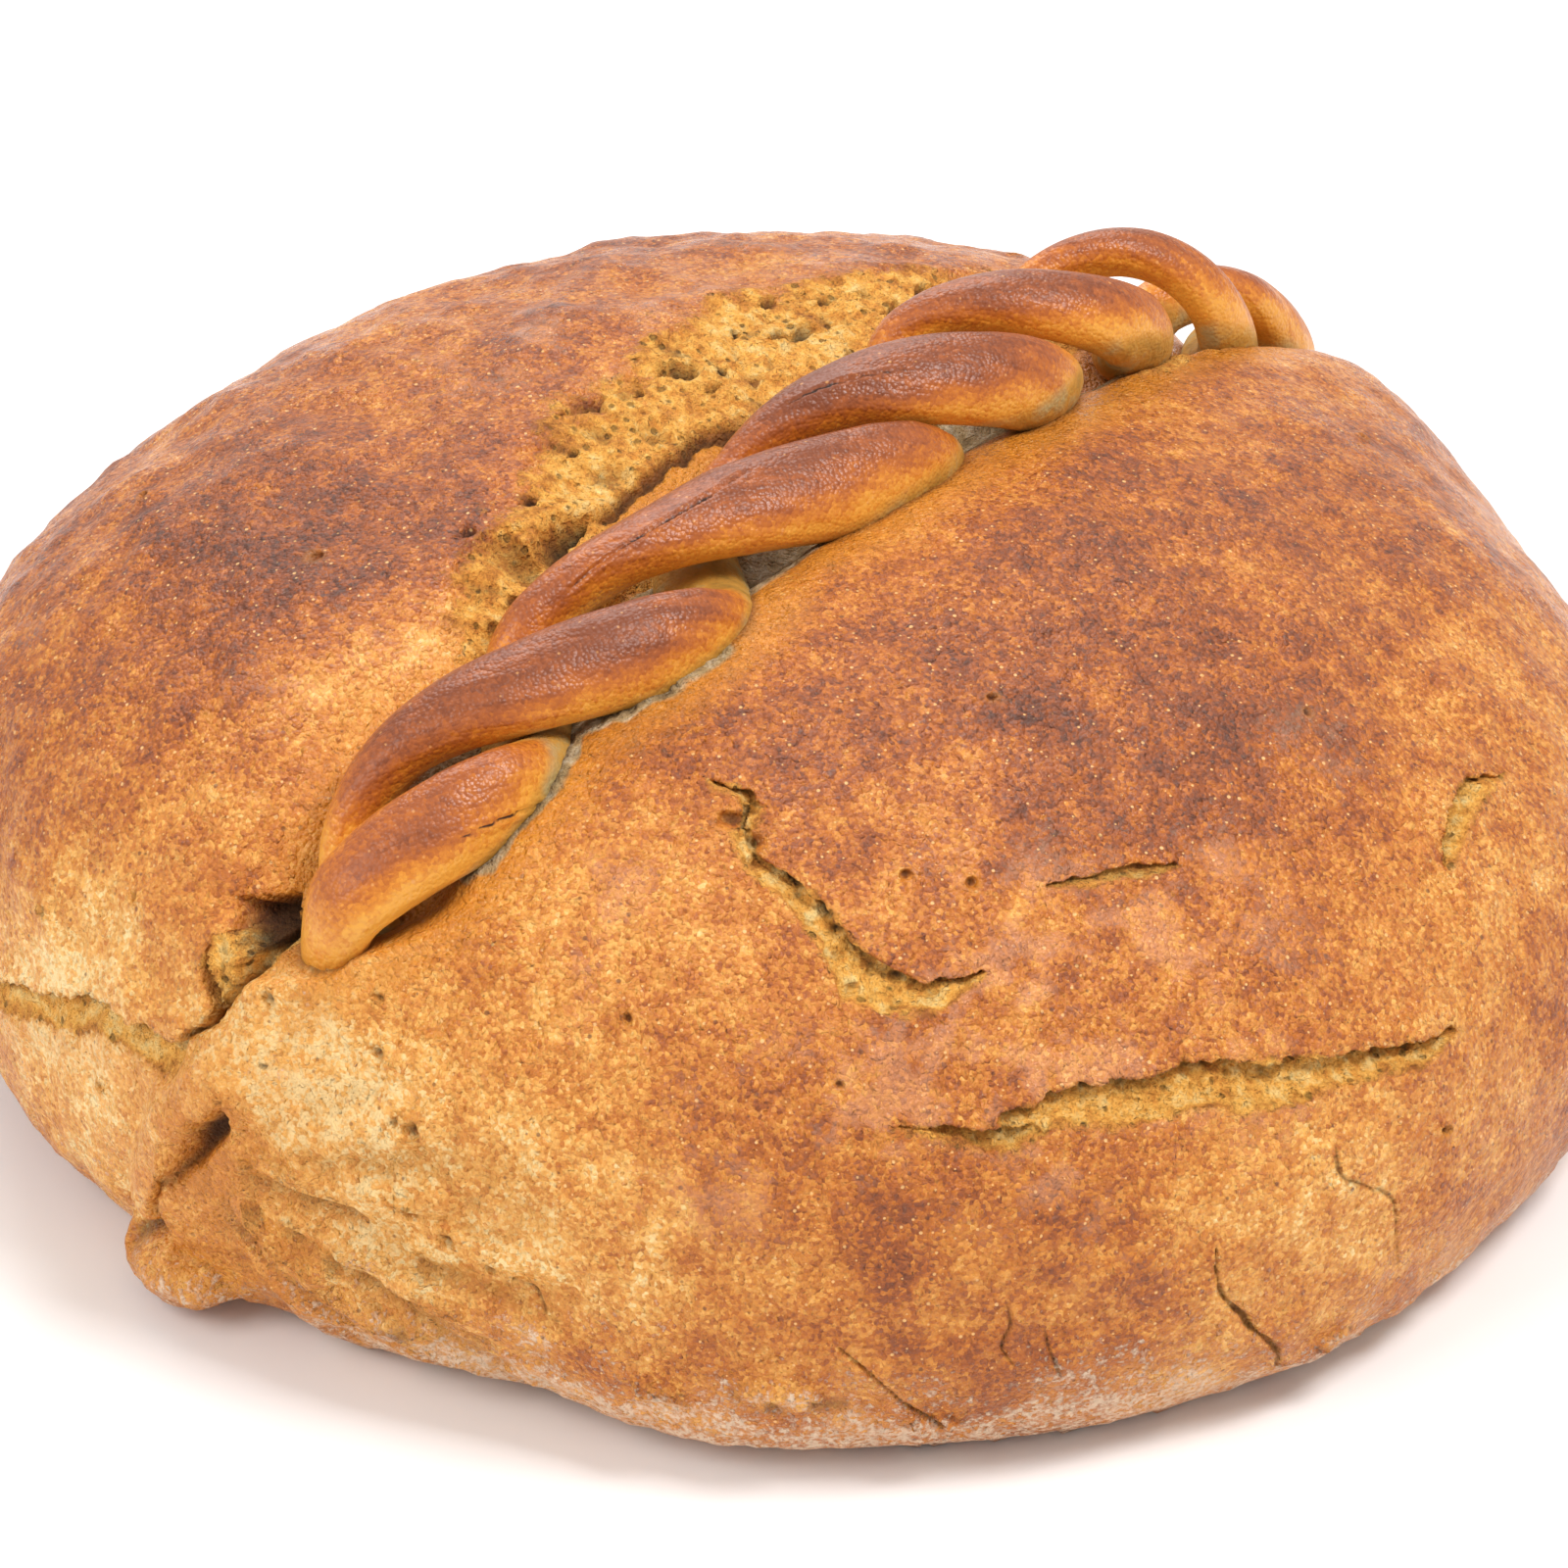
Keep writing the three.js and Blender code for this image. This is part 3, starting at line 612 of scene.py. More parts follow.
def pinchEnd(points, skin):
    left = np.flatnonzero((points[:, 0] < -85) & (np.abs(points[:, 1]) < 110))
    p = points[left]
    relief, slide = np.zeros(len(p)), np.zeros_like(p)
    crumb, paintedShade, gold = np.zeros(len(p)), np.zeros(len(p)), np.zeros(len(p))
    coarse, fine = lumps(p, 5, 2, 41), lumps(p, 1.8, 2, 42)

    # ridge where the lobes are pinched together, steep only on its lower right
    inside, side, along, across = besideCourse(p, pinch["ridge"], reach=30)
    height = np.interp(along, np.linspace(0, 1, 7), pinch["ridgeHeights"])
    high, low = pinch["ridgeRight"]
    rightWidth = np.where(side > 0, high + (low - high) * ease(along, 0.3, 0.55), pinch["ridgeLeft"])
    gap = -inside
    slope = np.where(gap < 98, 1 - ease(gap / rightWidth, 0.12, 1), 0)
    relief += height * slope

    # left tear: the skin above overhangs a band of pale crumb, with painted shade under the overhang and in
    # its pores
    inside, side, along, across = besideCourse(p, pinch["tearLine"], reach=30)
    near = ease(inside, -16, -12) * ease(along, 0, 0.12) * (1 - ease(along, 0.97, 1))
    side = side + 1.1 * coarse + 0.7 * fine
    below = 1 - ease(side, -0.5, 0.35)
    pores = bubbles(p, 3, 43) * 1.4 + bubbles(p, 1.6, 44) * 0.6
    fall = np.clip(1 + side / pinch["bandHeight"], 0, 1)
    relief += near * below * fall * (-pinch["tearDrop"] - 0.6 * pores * fall + 0.35 * fine)
    relief += near * (1 - below) * 0.8 * bell(side / 3.5)
    slide += across * (-near * (1 - below) * 1.5 * bell(side / 1.6))[:, None]
    crumb = np.maximum(crumb, near * below * ease(side, -pinch["bandHeight"], -pinch["bandHeight"] + 4))
    shade = np.clip(bell((side + 0.7) / 0.9) * 0.8 + 0.5 * pores * fall - 0.25, 0, 1)
    paintedShade = np.maximum(paintedShade, near * below * shade)
    gold = np.maximum(gold, near * below * 0.4 * ease(side, -20, -8))

    # hole and crumb tongue beside the rope's end, with painted shade in the hole and the tongue's pores
    hole = insidePlaces(p, pinch["hole"]) + 0.5 * fine
    relief -= pinch["holeDepth"] * ease(hole, -0.6, 2)
    paintedShade = np.maximum(paintedShade, ease(hole, -0.5, 1.3))
    tongue = insidePlaces(p, pinch["tongue"]) + 0.7 * coarse
    relief += ease(tongue, -0.5, 0.8) * (-0.9 + 0.6 * coarse + 0.5 * fine - 0.9 * pores)
    crumb = np.maximum(crumb, ease(tongue, -0.8, 0.6))
    paintedShade = np.maximum(paintedShade, ease(tongue, 0, 1) * np.clip(pores - 0.6, 0, 0.9))

    # lip of crust over the rope's end
    inside, side, along, across = besideCourse(p, pinch["lip"])
    ends = ease(along, 0, 0.15) * (1 - ease(along, 0.6, 1))
    relief += ends * (1 - ease(side + 0.5 * coarse, -0.8, 0.8)) * 2.8 * bell(side / 5.5)
    gold = np.maximum(gold, ends * bell(side / 5) * 0.5)

    # crease under the right of the ridge, with painted shade along it
    inside, side, along, across = besideCourse(p, pinch["crease"], pinch["creaseWidths"])
    opened = ease(inside + 0.3 * fine, -1.2, 1.4)
    relief -= pinch["creaseDepth"] * opened * (1 - 0.35 * ease(along, 0.3, 0.8))
    slide += across * (1.3 * bell((side + 2) / 2) * ease(inside, -5, -1) * (1 - opened))[:, None]
    paintedShade = np.maximum(paintedShade, ease(inside, -0.3, 1.6) * (1 - 0.3 * ease(along, 0.2, 0.6)))

    # curled tip of dough at the foot, a rounded form that the skin on its right overlaps
    tipCentre = onCrust([pinch["tip"]])[0]
    tipOut = unit(np.array([tipCentre[0], tipCentre[1], 0.0]))
    deep, long, tall = pinch["tipSize"]
    tipCentre = tipCentre + tipOut * pinch["tipOut"]
    tipCentre[2] = tall / 2 + pinch["tipLift"]
    tipBeside = np.cross([0, 0, 1.0], tipOut)
    ray = unit(p - heart)
    reach = np.linalg.norm(p - heart, axis=1)
    scaled = [np.stack([v @ tipOut / (deep / 2), v @ tipBeside / (long / 2), v[..., 2] / (tall / 2)], -1)
              for v in (ray, np.broadcast_to(heart - tipCentre, ray.shape))]
    a, b, c = (scaled[0] ** 2).sum(1), (scaled[0] * scaled[1]).sum(1), (scaled[1] ** 2).sum(1) - 1
    root = b * b - a * c
    hit = (-b + np.sqrt(np.maximum(root, 0))) / a
    proud = np.where(root > 0, hit - reach, -9)
    joined = relief + np.maximum(proud - relief + 2, 0) ** 2 / 8 * (proud < relief + 2)
    joined += (proud - relief) * (proud >= relief + 2)
    relief = np.where(proud > relief - 2, joined, relief)
    inside, side, along, across = besideCourse(p, pinch["hollow"], pinch["hollowWidths"])
    relief -= pinch["hollowDepth"] * ease(inside, -1.8, 1.6)
    # painted shade in the hollow of the curled tip
    paintedShade = np.maximum(paintedShade, 0.75 * ease(inside, -0.6, 1.8))
    inside, side, along, across = besideCourse(p, pinch["skinEdge"])
    edge = side + 0.5 * coarse
    relief += 1.8 * ease(edge, -0.6, 0.5) * bell(np.maximum(edge, 0) / 9) * ease(inside, -12, -6)
    slide += across * (-1.2 * bell((edge - 0.6) / 1.3) * ease(inside, -6, -2))[:, None]

    # wrinkles that fan out from the pinch, with painted shade in their troughs
    right, up = chart(p, pinch["wrinkles"])
    angle, away = np.arctan2(up, right), np.hypot(right, up)
    fan = bell((angle + 0.35) / 0.8) * ease(away, 6, 14) * (1 - ease(away, 40, 80))
    folds = lumps(np.stack([angle * 34, away / 7 + 2 * coarse, 0 * up], -1), 5, 2, 45)
    folds = folds + 0.6 * lumps(np.stack([angle * 80, away / 6 + coarse, 0 * up], -1), 5, 2, 47)
    relief += 3.8 * fan * folds
    paintedShade = np.maximum(paintedShade, 0.36 * fan * ease(-folds, 0.05, 0.5))
    gold = np.maximum(gold, 0.55 * bell(away / 40) * ease(right, -25, 5))
    gold = np.maximum(gold, fan * ease(-folds, 0, 0.5) * 0.8)
    right, up = chart(p, pinch["floury"])
    pale = bell(np.hypot(right, up) / 17) * ease(0.5 * lumps(p, 9, 2, 46) + 0.25 * fine, -0.25, 0.35)

    skin["relief"][left] += relief
    skin["slide"][left] += slide
    for name, values in (("crumb", crumb), ("paintedShade", paintedShade), ("gold", gold), ("flour", 0.3 * pale)):
        raiseTo(skin, name, left, values)


def farEnd(points, skin):
    right = np.flatnonzero((points[:, 0] > 85) & (np.abs(points[:, 1]) < 90))
    p = points[right]
    inside, side, along, across = besideCourse(p, farPinch["ridge"], reach=30)
    relief = np.interp(along, np.linspace(0, 1, 4), farPinch["heights"])
    relief *= 1 - ease(-inside / farPinch["halfWidth"], 0.12, 1)
    inside, side, along, across = besideCourse(p, farPinch["crease"], farPinch["creaseWidths"])
    relief -= farPinch["creaseDepth"] * ease(inside + 0.3 * lumps(p, 2, 2, 51), -1.4, 1.6)
    # painted shade along the crease
    paintedShade = ease(inside, -0.3, 1.8) * 0.8
    acrossX, up = chart(p, farPinch["wrinkles"])
    angle, away = np.arctan2(up, acrossX), np.hypot(acrossX, up)
    fan = ease(away, 7, 18) * (1 - ease(away, 30, 60)) * ease(-np.sin(angle), -0.8, 0.3)
    folds = lumps(np.stack([angle * 22, away / 6, 0 * up], -1), 5, 2, 52)
    relief += 2 * fan * folds
    skin["relief"][right] += relief
    raiseTo(skin, "paintedShade", right, paintedShade)
    raiseTo(skin, "gold", right, 0.6 * bell(away / 30))


def besideRope(points, skin):
    # floury, porous dough where the front lobe meets the rope, and crumbs at the foot of the arch, with
    # painted shade in its pores, close beside the strands and faintly under the rope
    close = np.flatnonzero((np.abs(points[:, 1] - valley["y"]) < 36) & (points[:, 2] > 55))
    p = points[close]
    gap = strandGap(p + unit(p - heart) * skin["relief"][close, None])
    frontSide = ease(-p[:, 1], 3, 9)
    wet = ease(p[:, 0], -134, -122) * (1 - ease(p[:, 0], -22, 10))
    coarse = lumps(p, 4, 2, 61)
    broken = ease(lumps(p, 13, 2, 64) + 0.6 * bell((p[:, 0] + 85) / 30), -0.25, 0.25)
    underRope = (p[:, 0] > -118) * (p[:, 0] < 75)
    sheltered = ease(p[:, 1] + coarse, -19, -15) * underRope
    seam = frontSide * wet * np.maximum(broken * (1 - ease(gap + 1.2 * coarse, 1.2, 3.4)), 0.8 * sheltered)
    covered = ease(p[:, 1] + coarse, -18, -14) * (1 - ease(p[:, 1], 6, 9)) * underRope
    seam = np.maximum(seam, 0.9 * covered)
    pores = bubbles(p, 2.8, 62) * 1.4
    skin["relief"][close] += seam * (0.8 * coarse - pores * 0.9)
    skin["seam"][close] = seam
    raiseTo(skin, "paintedShade", close, seam * np.clip(pores - 0.4, 0, 1) * 0.8)
    # painted shade where the crust comes within 1.6 mm of a strand, and faintly under the rope
    raiseTo(skin, "paintedShade", close, 0.55 * (1 - ease(gap, 0, 1.6)))
    raiseTo(skin, "paintedShade", close, 0.04 * covered)
    raiseTo(skin, "gold", close, (1 - ease(gap, 3, 15)) * 0.75)
    raiseTo(skin, "crumb", close, 0.6 * frontSide * sheltered * (1 - wet))
    ragged = frontSide * bell((p[:, 0] - 84) / 22) * (1 - ease(gap + 2 * coarse, 1, 7))
    skin["relief"][close] += ragged * (1.2 + 1.6 * lumps(p, 3, 2, 63))
    raiseTo(skin, "crumb", close, ragged * 0.9)


def roundPores(points, skin):
    outward = unit(points - heart)
    for number, (azimuth, elevation, size) in enumerate(skinPores):
        close = np.flatnonzero(mmAway(outward, azimuth, elevation) < 7)
        right, up = chart(points[close], (azimuth, elevation))
        long = 1.35 if number % 2 else 1.1
        hollow = 1 - np.hypot(right / (size / 2 * long), up / (size / 2))
        hollow += 0.15 * lumps(points[close], 1.4, 1, 65)
        deep = min(size * 0.55, 1.5)
        skin["relief"][close] += 0.3 * bell(hollow / 0.5) - deep * ease(hollow, -0.15, 0.55)
        # painted shade in each pore, heavier on its upper wall
        raiseTo(skin, "paintedShade", close, 0.8 * ease(hollow + 0.5 * up / size, 0.15, 0.8))
        raiseTo(skin, "gold", close, 0.35 * bell(hollow / 0.5))


def rimFlakes(points, skin):
    # scabs of skin that the basket lifted at the front, curled up along their lower edge, with painted
    # shadow under that edge
    outward = unit(points - heart)
    for azimuth, elevation, long, tall in flakes:
        close = np.flatnonzero(mmAway(outward, azimuth, elevation) < 16)
        right, up = chart(points[close], (azimuth, elevation))
        flake = 1 - np.hypot(right / (long / 2), up / (tall / 2)) + 0.45 * lumps(points[close], 3, 2, 66)
        skin["relief"][close] += ease(flake, 0, 0.2) * (1.3 - 1.4 * up / tall)
        raiseTo(skin, "paintedShade", close, 0.6 * bell((flake + 0.08) / 0.12) * (up < 0))
        raiseTo(skin, "flour", close, 0.5 * ease(flake, 0, 0.3))


def bakeCrust(crust):
    points = smoothCrust(unit(getPoints(crust)))
    outward = unit(points - heart)
    count = len(points)
    skin = {name: np.zeros(count) for name in crustMarks}
    skin["relief"] = bigForms(points, outward)
    skin["slide"] = np.zeros_like(points)
    above = ease(points[:, 2], 0, 8)
    broad, dents, pebbles = lumps(points, 46, 2, 1), lumps(points, 17, 2, 2), lumps(points, 7.5, 2, 3)
    backLobe = ease(points[:, 1], 15, 60)
    skin["relief"] += above * (1.1 * broad + (0.6 + 0.9 * backLobe) * dents
                               + (0.45 + 0.35 * backLobe) * pebbles)
    print("crust: smooth form", count, "points")
    tearCrumb(points, skin)
    print("crust: torn crumb")
    openCracks(points, skin)
    print("crust: cracks")
    pinchEnd(points, skin)
    farEnd(points, skin)
    print("crust: pinched ends")
    besideRope(points, skin)
    roundPores(points, skin)
    print("crust: seam and pores")
    # the rim is rough with flour from the basket and draws in to the flat base
    low = 1 - ease(points[:, 2] + 5 * dents + 2.5 * pebbles, 8, 24)
    skin["relief"] += above * low * (0.5 * pebbles + 0.45 * lumps(points, 3.2, 2, 4))
    under = points[:, 2] < 1.5
    frontRim = 0.5 + 0.5 * bell((np.arctan2(points[:, 1], points[:, 0]) + 2.5) / 0.95)
    dusted = 1 - ease(points[:, 2] + 7 * dents + 3 * pebbles, 14, 46)
    dusting = frontRim * np.maximum(low * (0.72 + 0.35 * pebbles), dusted * (0.34 + 0.3 * pebbles))
    skin["flour"] = np.maximum(skin["flour"], np.clip(dusting, 0, 0.55))
    rimFlakes(points, skin)
    skin["flour"] = np.where(under, 0.5, skin["flour"])
    # painted sheen: patches, broken up by noise, where the colour is paled pink to stand in for highlights
    glints = ease(lumps(points, 12, 3, 67) + 0.8 * lumps(points, 4, 2, 68), -0.5, 0.7)
    skin["paintedSheen"] = np.clip((patches(outward, paintedSheenSpots) + 0.2 * dents) * glints, 0, 1)
    bake = 0.5 + 0.12 * broad + 0.1 * dents + patches(outward, browned)
    bake += 0.08 * (1 - ease(points[:, 2] + 4 * dents, 2, 16))
    points = points + outward * skin["relief"][:, None] + skin["slide"]
    points[:, 2] = np.maximum(np.where(under, np.minimum(points[:, 2], 0.2), points[:, 2]), 0)
    setPoints(crust, points * mm)
    setAttribute(crust, "bake", bake)
    for name in crustMarks:
        setAttribute(crust, name, skin[name])
    bpy.context.view_layer.objects.active = crust
    crust.select_set(True)
    bpy.ops.object.shade_smooth()
    triangles = sum(len(face.vertices) - 2 for face in crust.data.polygons)
    print("crust baked:", triangles, "triangles")


# Rope of two strands of dough, twisted flat. Lengths in mm are from the rope's left end.

rope = {
    "y": -3.5, "startRing": 0.78, "endRing": 0.81, "rise": -2.5,
    "arch": (60, 50, 7.5), "endTuck": (5, 0.04),
    "sink": 9, "flatness": 0.74, "softness": 9, "capLength": 13,
    "sides": 84, "rings": (22, 25),
}
strands = {
    "ropeStrandA": {
        "node": "rope_strand_a", "seed": 81,
        "turns": [(-13, 0), (24, 0.5), (51, 1), (82, 2), (119, 2.5), (160, 3), (187, 4), (206, 4.5),
                  (226, 5), (267, 6), (281, 6.5), (301, 7), (331, 8)],
        "swing": [(0, 12), (24, 9), (119, 10.5), (206, 14), (281, 4)],
        "rise": [(18, 5.5), (119, 5), (206, 6.5), (281, 5.5)],
        "width": [(10, 13), (24, 16), (60, 17), (86, 12.5), (104, 14), (122, 18.5), (150, 18), (186, 11.5),
                  (206, 15.5), (232, 15), (262, 12), (281, 13)],
        "tuck": 14,
        # slits in its skin: start and end along the rope, angles round the strand, width, depth
        "slits": [(88, 128, 125, -22, 0.8, 0.63), (38, 56, 15, -10, 0.6, 0.42)],
    },
    "ropeStrandB": {
        "node": "rope_strand_b", "seed": 86,
        "turns": [(-16, -1), (35, 0), (63, 0.5), (96, 1), (135, 2), (167, 2.5), (193, 3), (226, 4),
                  (243, 4.5), (258, 5), (306, 6)],
        "swing": [(0, 3), (30, 10), (63, 14), (105, 14), (135, 10.5), (167, 14.5), (243, 11)],
        "rise": [(63, 5), (167, 7.5), (243, 10)],
        "width": [(10, 12), (36, 11.5), (63, 16.5), (90, 17.5), (118, 16), (138, 9.5), (167, 17.5),
                  (200, 17), (226, 11), (243, 12.5)],
        "tuck": 14,
        "slits": [(150, 172, 60, 20, 0.6, 0.35)],
    },
}


def ropeAxis():
    rings = np.linspace(-rope["startRing"], rope["endRing"], 900)
    dome = np.abs(rings) * math.pi / 2
    azimuth = np.where(rings < 0, math.pi, 0)
    radius = loaf["radius"] + sum(
        size * np.cos(order * azimuth - math.radians(phase)) for order, size, phase in loaf["waves"])
    power = 2 / loaf["fullness"]
    x = np.sign(rings) * radius * np.sin(dome) ** power
    z = loaf["girth"] + (loaf["height"] - loaf["girth"]) * np.cos(dome) ** power
    z += loaf["lean"][0] * np.cos(azimuth) * np.sin(2 * dome)
    outward = unit(np.stack([x, 0 * x, z - loaf["girth"]], -1))
    share = np.linspace(0, 1, len(rings))
    archX, archHalf, archRise = rope["arch"]
    tuckDepth, tuckShare = rope["endTuck"]
    rise = rope["rise"] + archRise * bell((x - archX) / archHalf)
    rise -= tuckDepth * bell((1 - share) / tuckShare)
    axis = np.stack([x, np.full_like(x, rope["y"]), z], -1) + outward * rise[:, None]
    steps = np.linalg.norm(np.diff(axis, axis=0), axis=1)
    return axis, np.concatenate([[0], np.cumsum(steps)])


axisPoints, axisLengths = ropeAxis()
ropeLength = axisLengths[-1]


def onAxis(length):
    return np.stack([np.interp(length, axisLengths, axisPoints[:, i]) for i in range(3)], -1)


def strandCourse(strand, length):
    # the strand's middle at a length of rope, and the direction away from the rope's axis
    soft = rope["softness"]
    steps = (-1, -0.5, 0, 0.5, 1)
    turn = math.pi * np.mean([table(strand["turns"], length + step * soft) for step in steps], axis=0)
    tangent = unit(onAxis(length + 0.5) - onAxis(length - 0.5))
    left = np.array([0, 1, 0.0])
    upward = np.cross(tangent, left)
    height = np.where(np.sin(turn) > 0, table(strand["rise"], length), rope["sink"])
    middle = onAxis(length) + left * (table(strand["swing"], length) * np.cos(turn))[:, None]
    buried = strand["tuck"] * (1 - ease(length, 5, 24))
    middle = middle + upward * (height * np.sin(turn) - buried)[:, None]
    return middle, left * np.cos(turn)[:, None] + upward * np.sin(turn)[:, None]


def strandFrame(strand, length):
    middle, away = strandCourse(strand, length)
    tangent = unit(strandCourse(strand, length + 1)[0] - strandCourse(strand, length - 1)[0])
    beside = unit(np.cross(tangent, away))
    return middle, np.cross(beside, tangent), beside


def rollStrand(name, strand):
    deselectAll()
    bpy.ops.mesh.primitive_cylinder_add(vertices=rope["sides"], radius=1, depth=1, location=(0, 0, 0.5))
    made = bpy.context.object
    made.name = name
    bpy.ops.object.transform_apply(location=True, rotation=True, scale=True)
    for cuts in rope["rings"]:
        editEdges(made, lambda middle, direction: abs(direction.z) > 0.9)
        bpy.ops.mesh.subdivide(number_cuts=cuts - 1)
        bpy.ops.object.mode_set(mode="OBJECT")
    editFaces(made, lambda centres: np.hypot(centres[:, 0], centres[:, 1]) < 0.5)
    bpy.ops.mesh.inset(thickness=0.5)
    bpy.ops.mesh.poke()
    bpy.ops.object.mode_set(mode="OBJECT")
    local = getPoints(made)
    length = local[:, 2] * ropeLength
    middle, outward, beside = strandFrame(strand, length)
    short = np.clip(1 - np.minimum(length, ropeLength - length) / rope["capLength"], 0, 1)
    taper = np.sqrt(1 - short ** 2) * np.hypot(local[:, 0], local[:, 1])
    angle = np.arctan2(local[:, 1], local[:, 0])
    half = table(strand["width"], length) / 2
    # dough drawn out and rolled by hand: faint ridges run along it
    unrolled = np.stack([length / 9, half * np.cos(angle), half * np.sin(angle)], -1)
    ridges = lumps(unrolled, 2.6, 2, strand["seed"])
    swell = lumps(unrolled * np.array([4, 0.5, 0.5]), 13, 2, strand["seed"] + 1)
    grow = 0.16 * ridges + 0.45 * swell
    opened = np.zeros(len(length))
    for start, end, startAngle, endAngle, wide, deep in strand["slits"]:
        share = (length - start) / (end - start)
        course = np.radians(startAngle + (endAngle - startAngle) * share)
        wander = 0.5 * lumps(unrolled * np.array([9, 0, 0]), 5, 2, 77) + 0.25 * ridges
        away = np.abs(np.arctan2(np.sin(angle - course), np.cos(angle - course))) * half
        away = np.abs(away + 0.35 * wander)
        within = ease(share, 0, 0.12) * (1 - ease(share, 0.85, 1))
        uneven = 0.55 + 0.9 * np.abs(swell) + 0.8 * np.abs(ridges)
        cut = np.clip(within * (1 - ease(away, wide * 0.25, wide * 0.75)) * uneven, 0, 1)
        grow += within * 0.3 * bell((away - wide) / 0.8) - cut * deep
        opened = np.maximum(opened, cut)
    points = middle + outward * (taper * np.cos(angle) * (half * rope["flatness"] + grow))[:, None]
    points = points + beside * (taper * np.sin(angle) * (half + grow))[:, None]
    others = [other for other in strands.values() if other is not strand]
    gap = strandGap(points, others)
    radial = unit(points - middle)
    tangent = unit(onAxis(length + 0.5) - onAxis(length - 0.5))
    upward = np.cross(tangent, np.array([0, 1, 0.0]))
    facing = (radial * upward).sum(1)
    rise = ((points - onAxis(length)) * upward).sum(1)
    bake = 0.05 + 0.35 * ease(facing, -0.3, 0.9) + 0.5 * ease(rise, 0.5, 13) + 0.14 * swell
    bake -= 0.42 * (1 - ease(length, 8, 62)) + 0.12 * ease(length, 190, 270)
    crease = np.maximum(1 - ease(gap, 0.3, 3), 0.95 * (1 - ease(rise + 1.5 * swell, -2, 4)))
    setPoints(made, points * mm)
    setAttribute(made, "bake", bake)
    setAttribute(made, "crease", crease)
    setAttribute(made, "slit", opened)
    layer = made.data.attributes.new("unrolled", "FLOAT_VECTOR", "POINT")
    layer.data.foreach_set("vector", (unrolled * mm).astype(np.float32).ravel())
    deselectAll()
    made.select_set(True)
    bpy.context.view_layer.objects.active = made
    bpy.ops.object.mode_set(mode="EDIT")
    bpy.ops.mesh.select_all(action="SELECT")
    bpy.ops.mesh.normals_make_consistent(inside=False)
    bpy.ops.object.mode_set(mode="OBJECT")
    bpy.ops.object.shade_smooth()
    print(name, len(made.data.vertices), "points")
    return made


def strandGap(points, others=None):
    # distance from each point to the nearer strand's skin
    length = np.linspace(0, ropeLength, 420)
    nearest = np.full(len(points), 99.0)
    for strand in others or strands.values():
        middle, outward, beside = strandFrame(strand, length)
        half = table(strand["width"], length) / 2
        for start in range(0, len(points), 4000):
            part = slice(start, start + 4000)
            offset = points[part, None] - middle[None]
            over = (offset * outward[None]).sum(2)
            away = np.linalg.norm(offset, axis=2)
            spread = np.sqrt(np.maximum(away ** 2 - over ** 2 + (over / rope["flatness"]) ** 2, 0))
            nearest[part] = np.minimum(nearest[part], (spread - half[None]).min(1))
    return nearest


crust = blockOut()
print("blocked out")
bakeCrust(crust)


# Materials

def linear(code):
    channels = [int(code[i:i + 2], 16) / 255 for i in (1, 3, 5)]
    return tuple(c / 12.92 if c <= 0.04045 else ((c + 0.055) / 1.055) ** 2.4 for c in channels) + (1,)


def addNode(tree, kind, inputs={}, stops=None, **settings):
    # a node given as an input stands for its first output
    made = tree.nodes.new("ShaderNode" + kind)
    for name, value in settings.items():
        setattr(made, name, value)
    for socket, value in inputs.items():
        if isinstance(value, bpy.types.Node):
            tree.links.new(value.outputs[0], made.inputs[socket])
        elif isinstance(value, bpy.types.NodeSocket):
            tree.links.new(value, made.inputs[socket])
        else:
            made.inputs[socket].default_value = value
    if stops:
        ramp = made.color_ramp
        ramp.elements[0].position, ramp.elements[1].position = stops[0][0], stops[-1][0]
        ramp.elements[0].color, ramp.elements[1].color = linear(stops[0][1]), linear(stops[-1][1])
        for place, colour in stops[1:-1]:
            ramp.elements.new(place).color = linear(colour)
    return made


def newMaterial(name):
    made = bpy.data.materials.new(name)
    made.use_nodes = True
    return made, made.node_tree, made.node_tree.nodes["Principled BSDF"]


crustFinish = {
    # browning of the starch and sugar in the skin, pale gold where it was sheltered to red-brown on top
    "browning": [(-0.1, "#fedb98"), (0.08, "#f5b45a"), (0.28, "#dd8f38"), (0.48, "#c26c1c"),
                 (0.64, "#a2521a"), (0.8, "#83421e"), (1, "#5a2f1b")],
    # patterns that break up the colour: size in mm, detail, roughness, how much each browns
    "clouds": {"patch": (38, 3, 0.5, 0.45), "blotch": (15, 3, 0.6, 0.55), "mottle": (6, 4, 0.62, 0.72),
               "fine": (1.4, 3, 0.7, 0.6)},
    "beads": 0.75, "beadBrowning": 0.42, "evenTone": 1.37,
    # specks: size in mm, share left out, greatest radius, soft edge, strength, colour
    "specks": [(1.3, 0.35, 0.34, 0.08, 0.9, "#f3bd78"), (2.1, 0.5, 0.3, 0.1, 0.7, "#5c2c16")],
    # painted sheen colour: pale pink standing in for broken highlights on the skin
    "paintedSheenMix": "#f3b284", "gold": "#dc8f30",
    "crumb": [(0.25, "#9c5a1e"), (0.4, "#dc9138"), (0.52, "#f8b551"), (0.7, "#fddb90")],
    # cell: colour of painted shade in the cut pores of the crumb
    "grain": 300, "cells": 2.2, "cell": "#85601f",  # grain and blisters in lumps per metre
    "seam": [(0.3, "#82683f"), (0.48, "#b79a6c"), (0.68, "#e0cfb0")],
    # deep: colour of painted shade in hollows, cracks, pores and beside the rope
    "flour": "#f3d6b6", "deep": "#2c1709",
    "roughness": (0.2, 0.42), "matt": 0.9, "sheenSpotGloss": -0.12, "ior": 1.45, "specular": 0.55,
    "blisters": (280, 0.0017), "beadRelief": 0.00032, "fineRelief": 0.0005, "tornRelief": 0.0024,
}


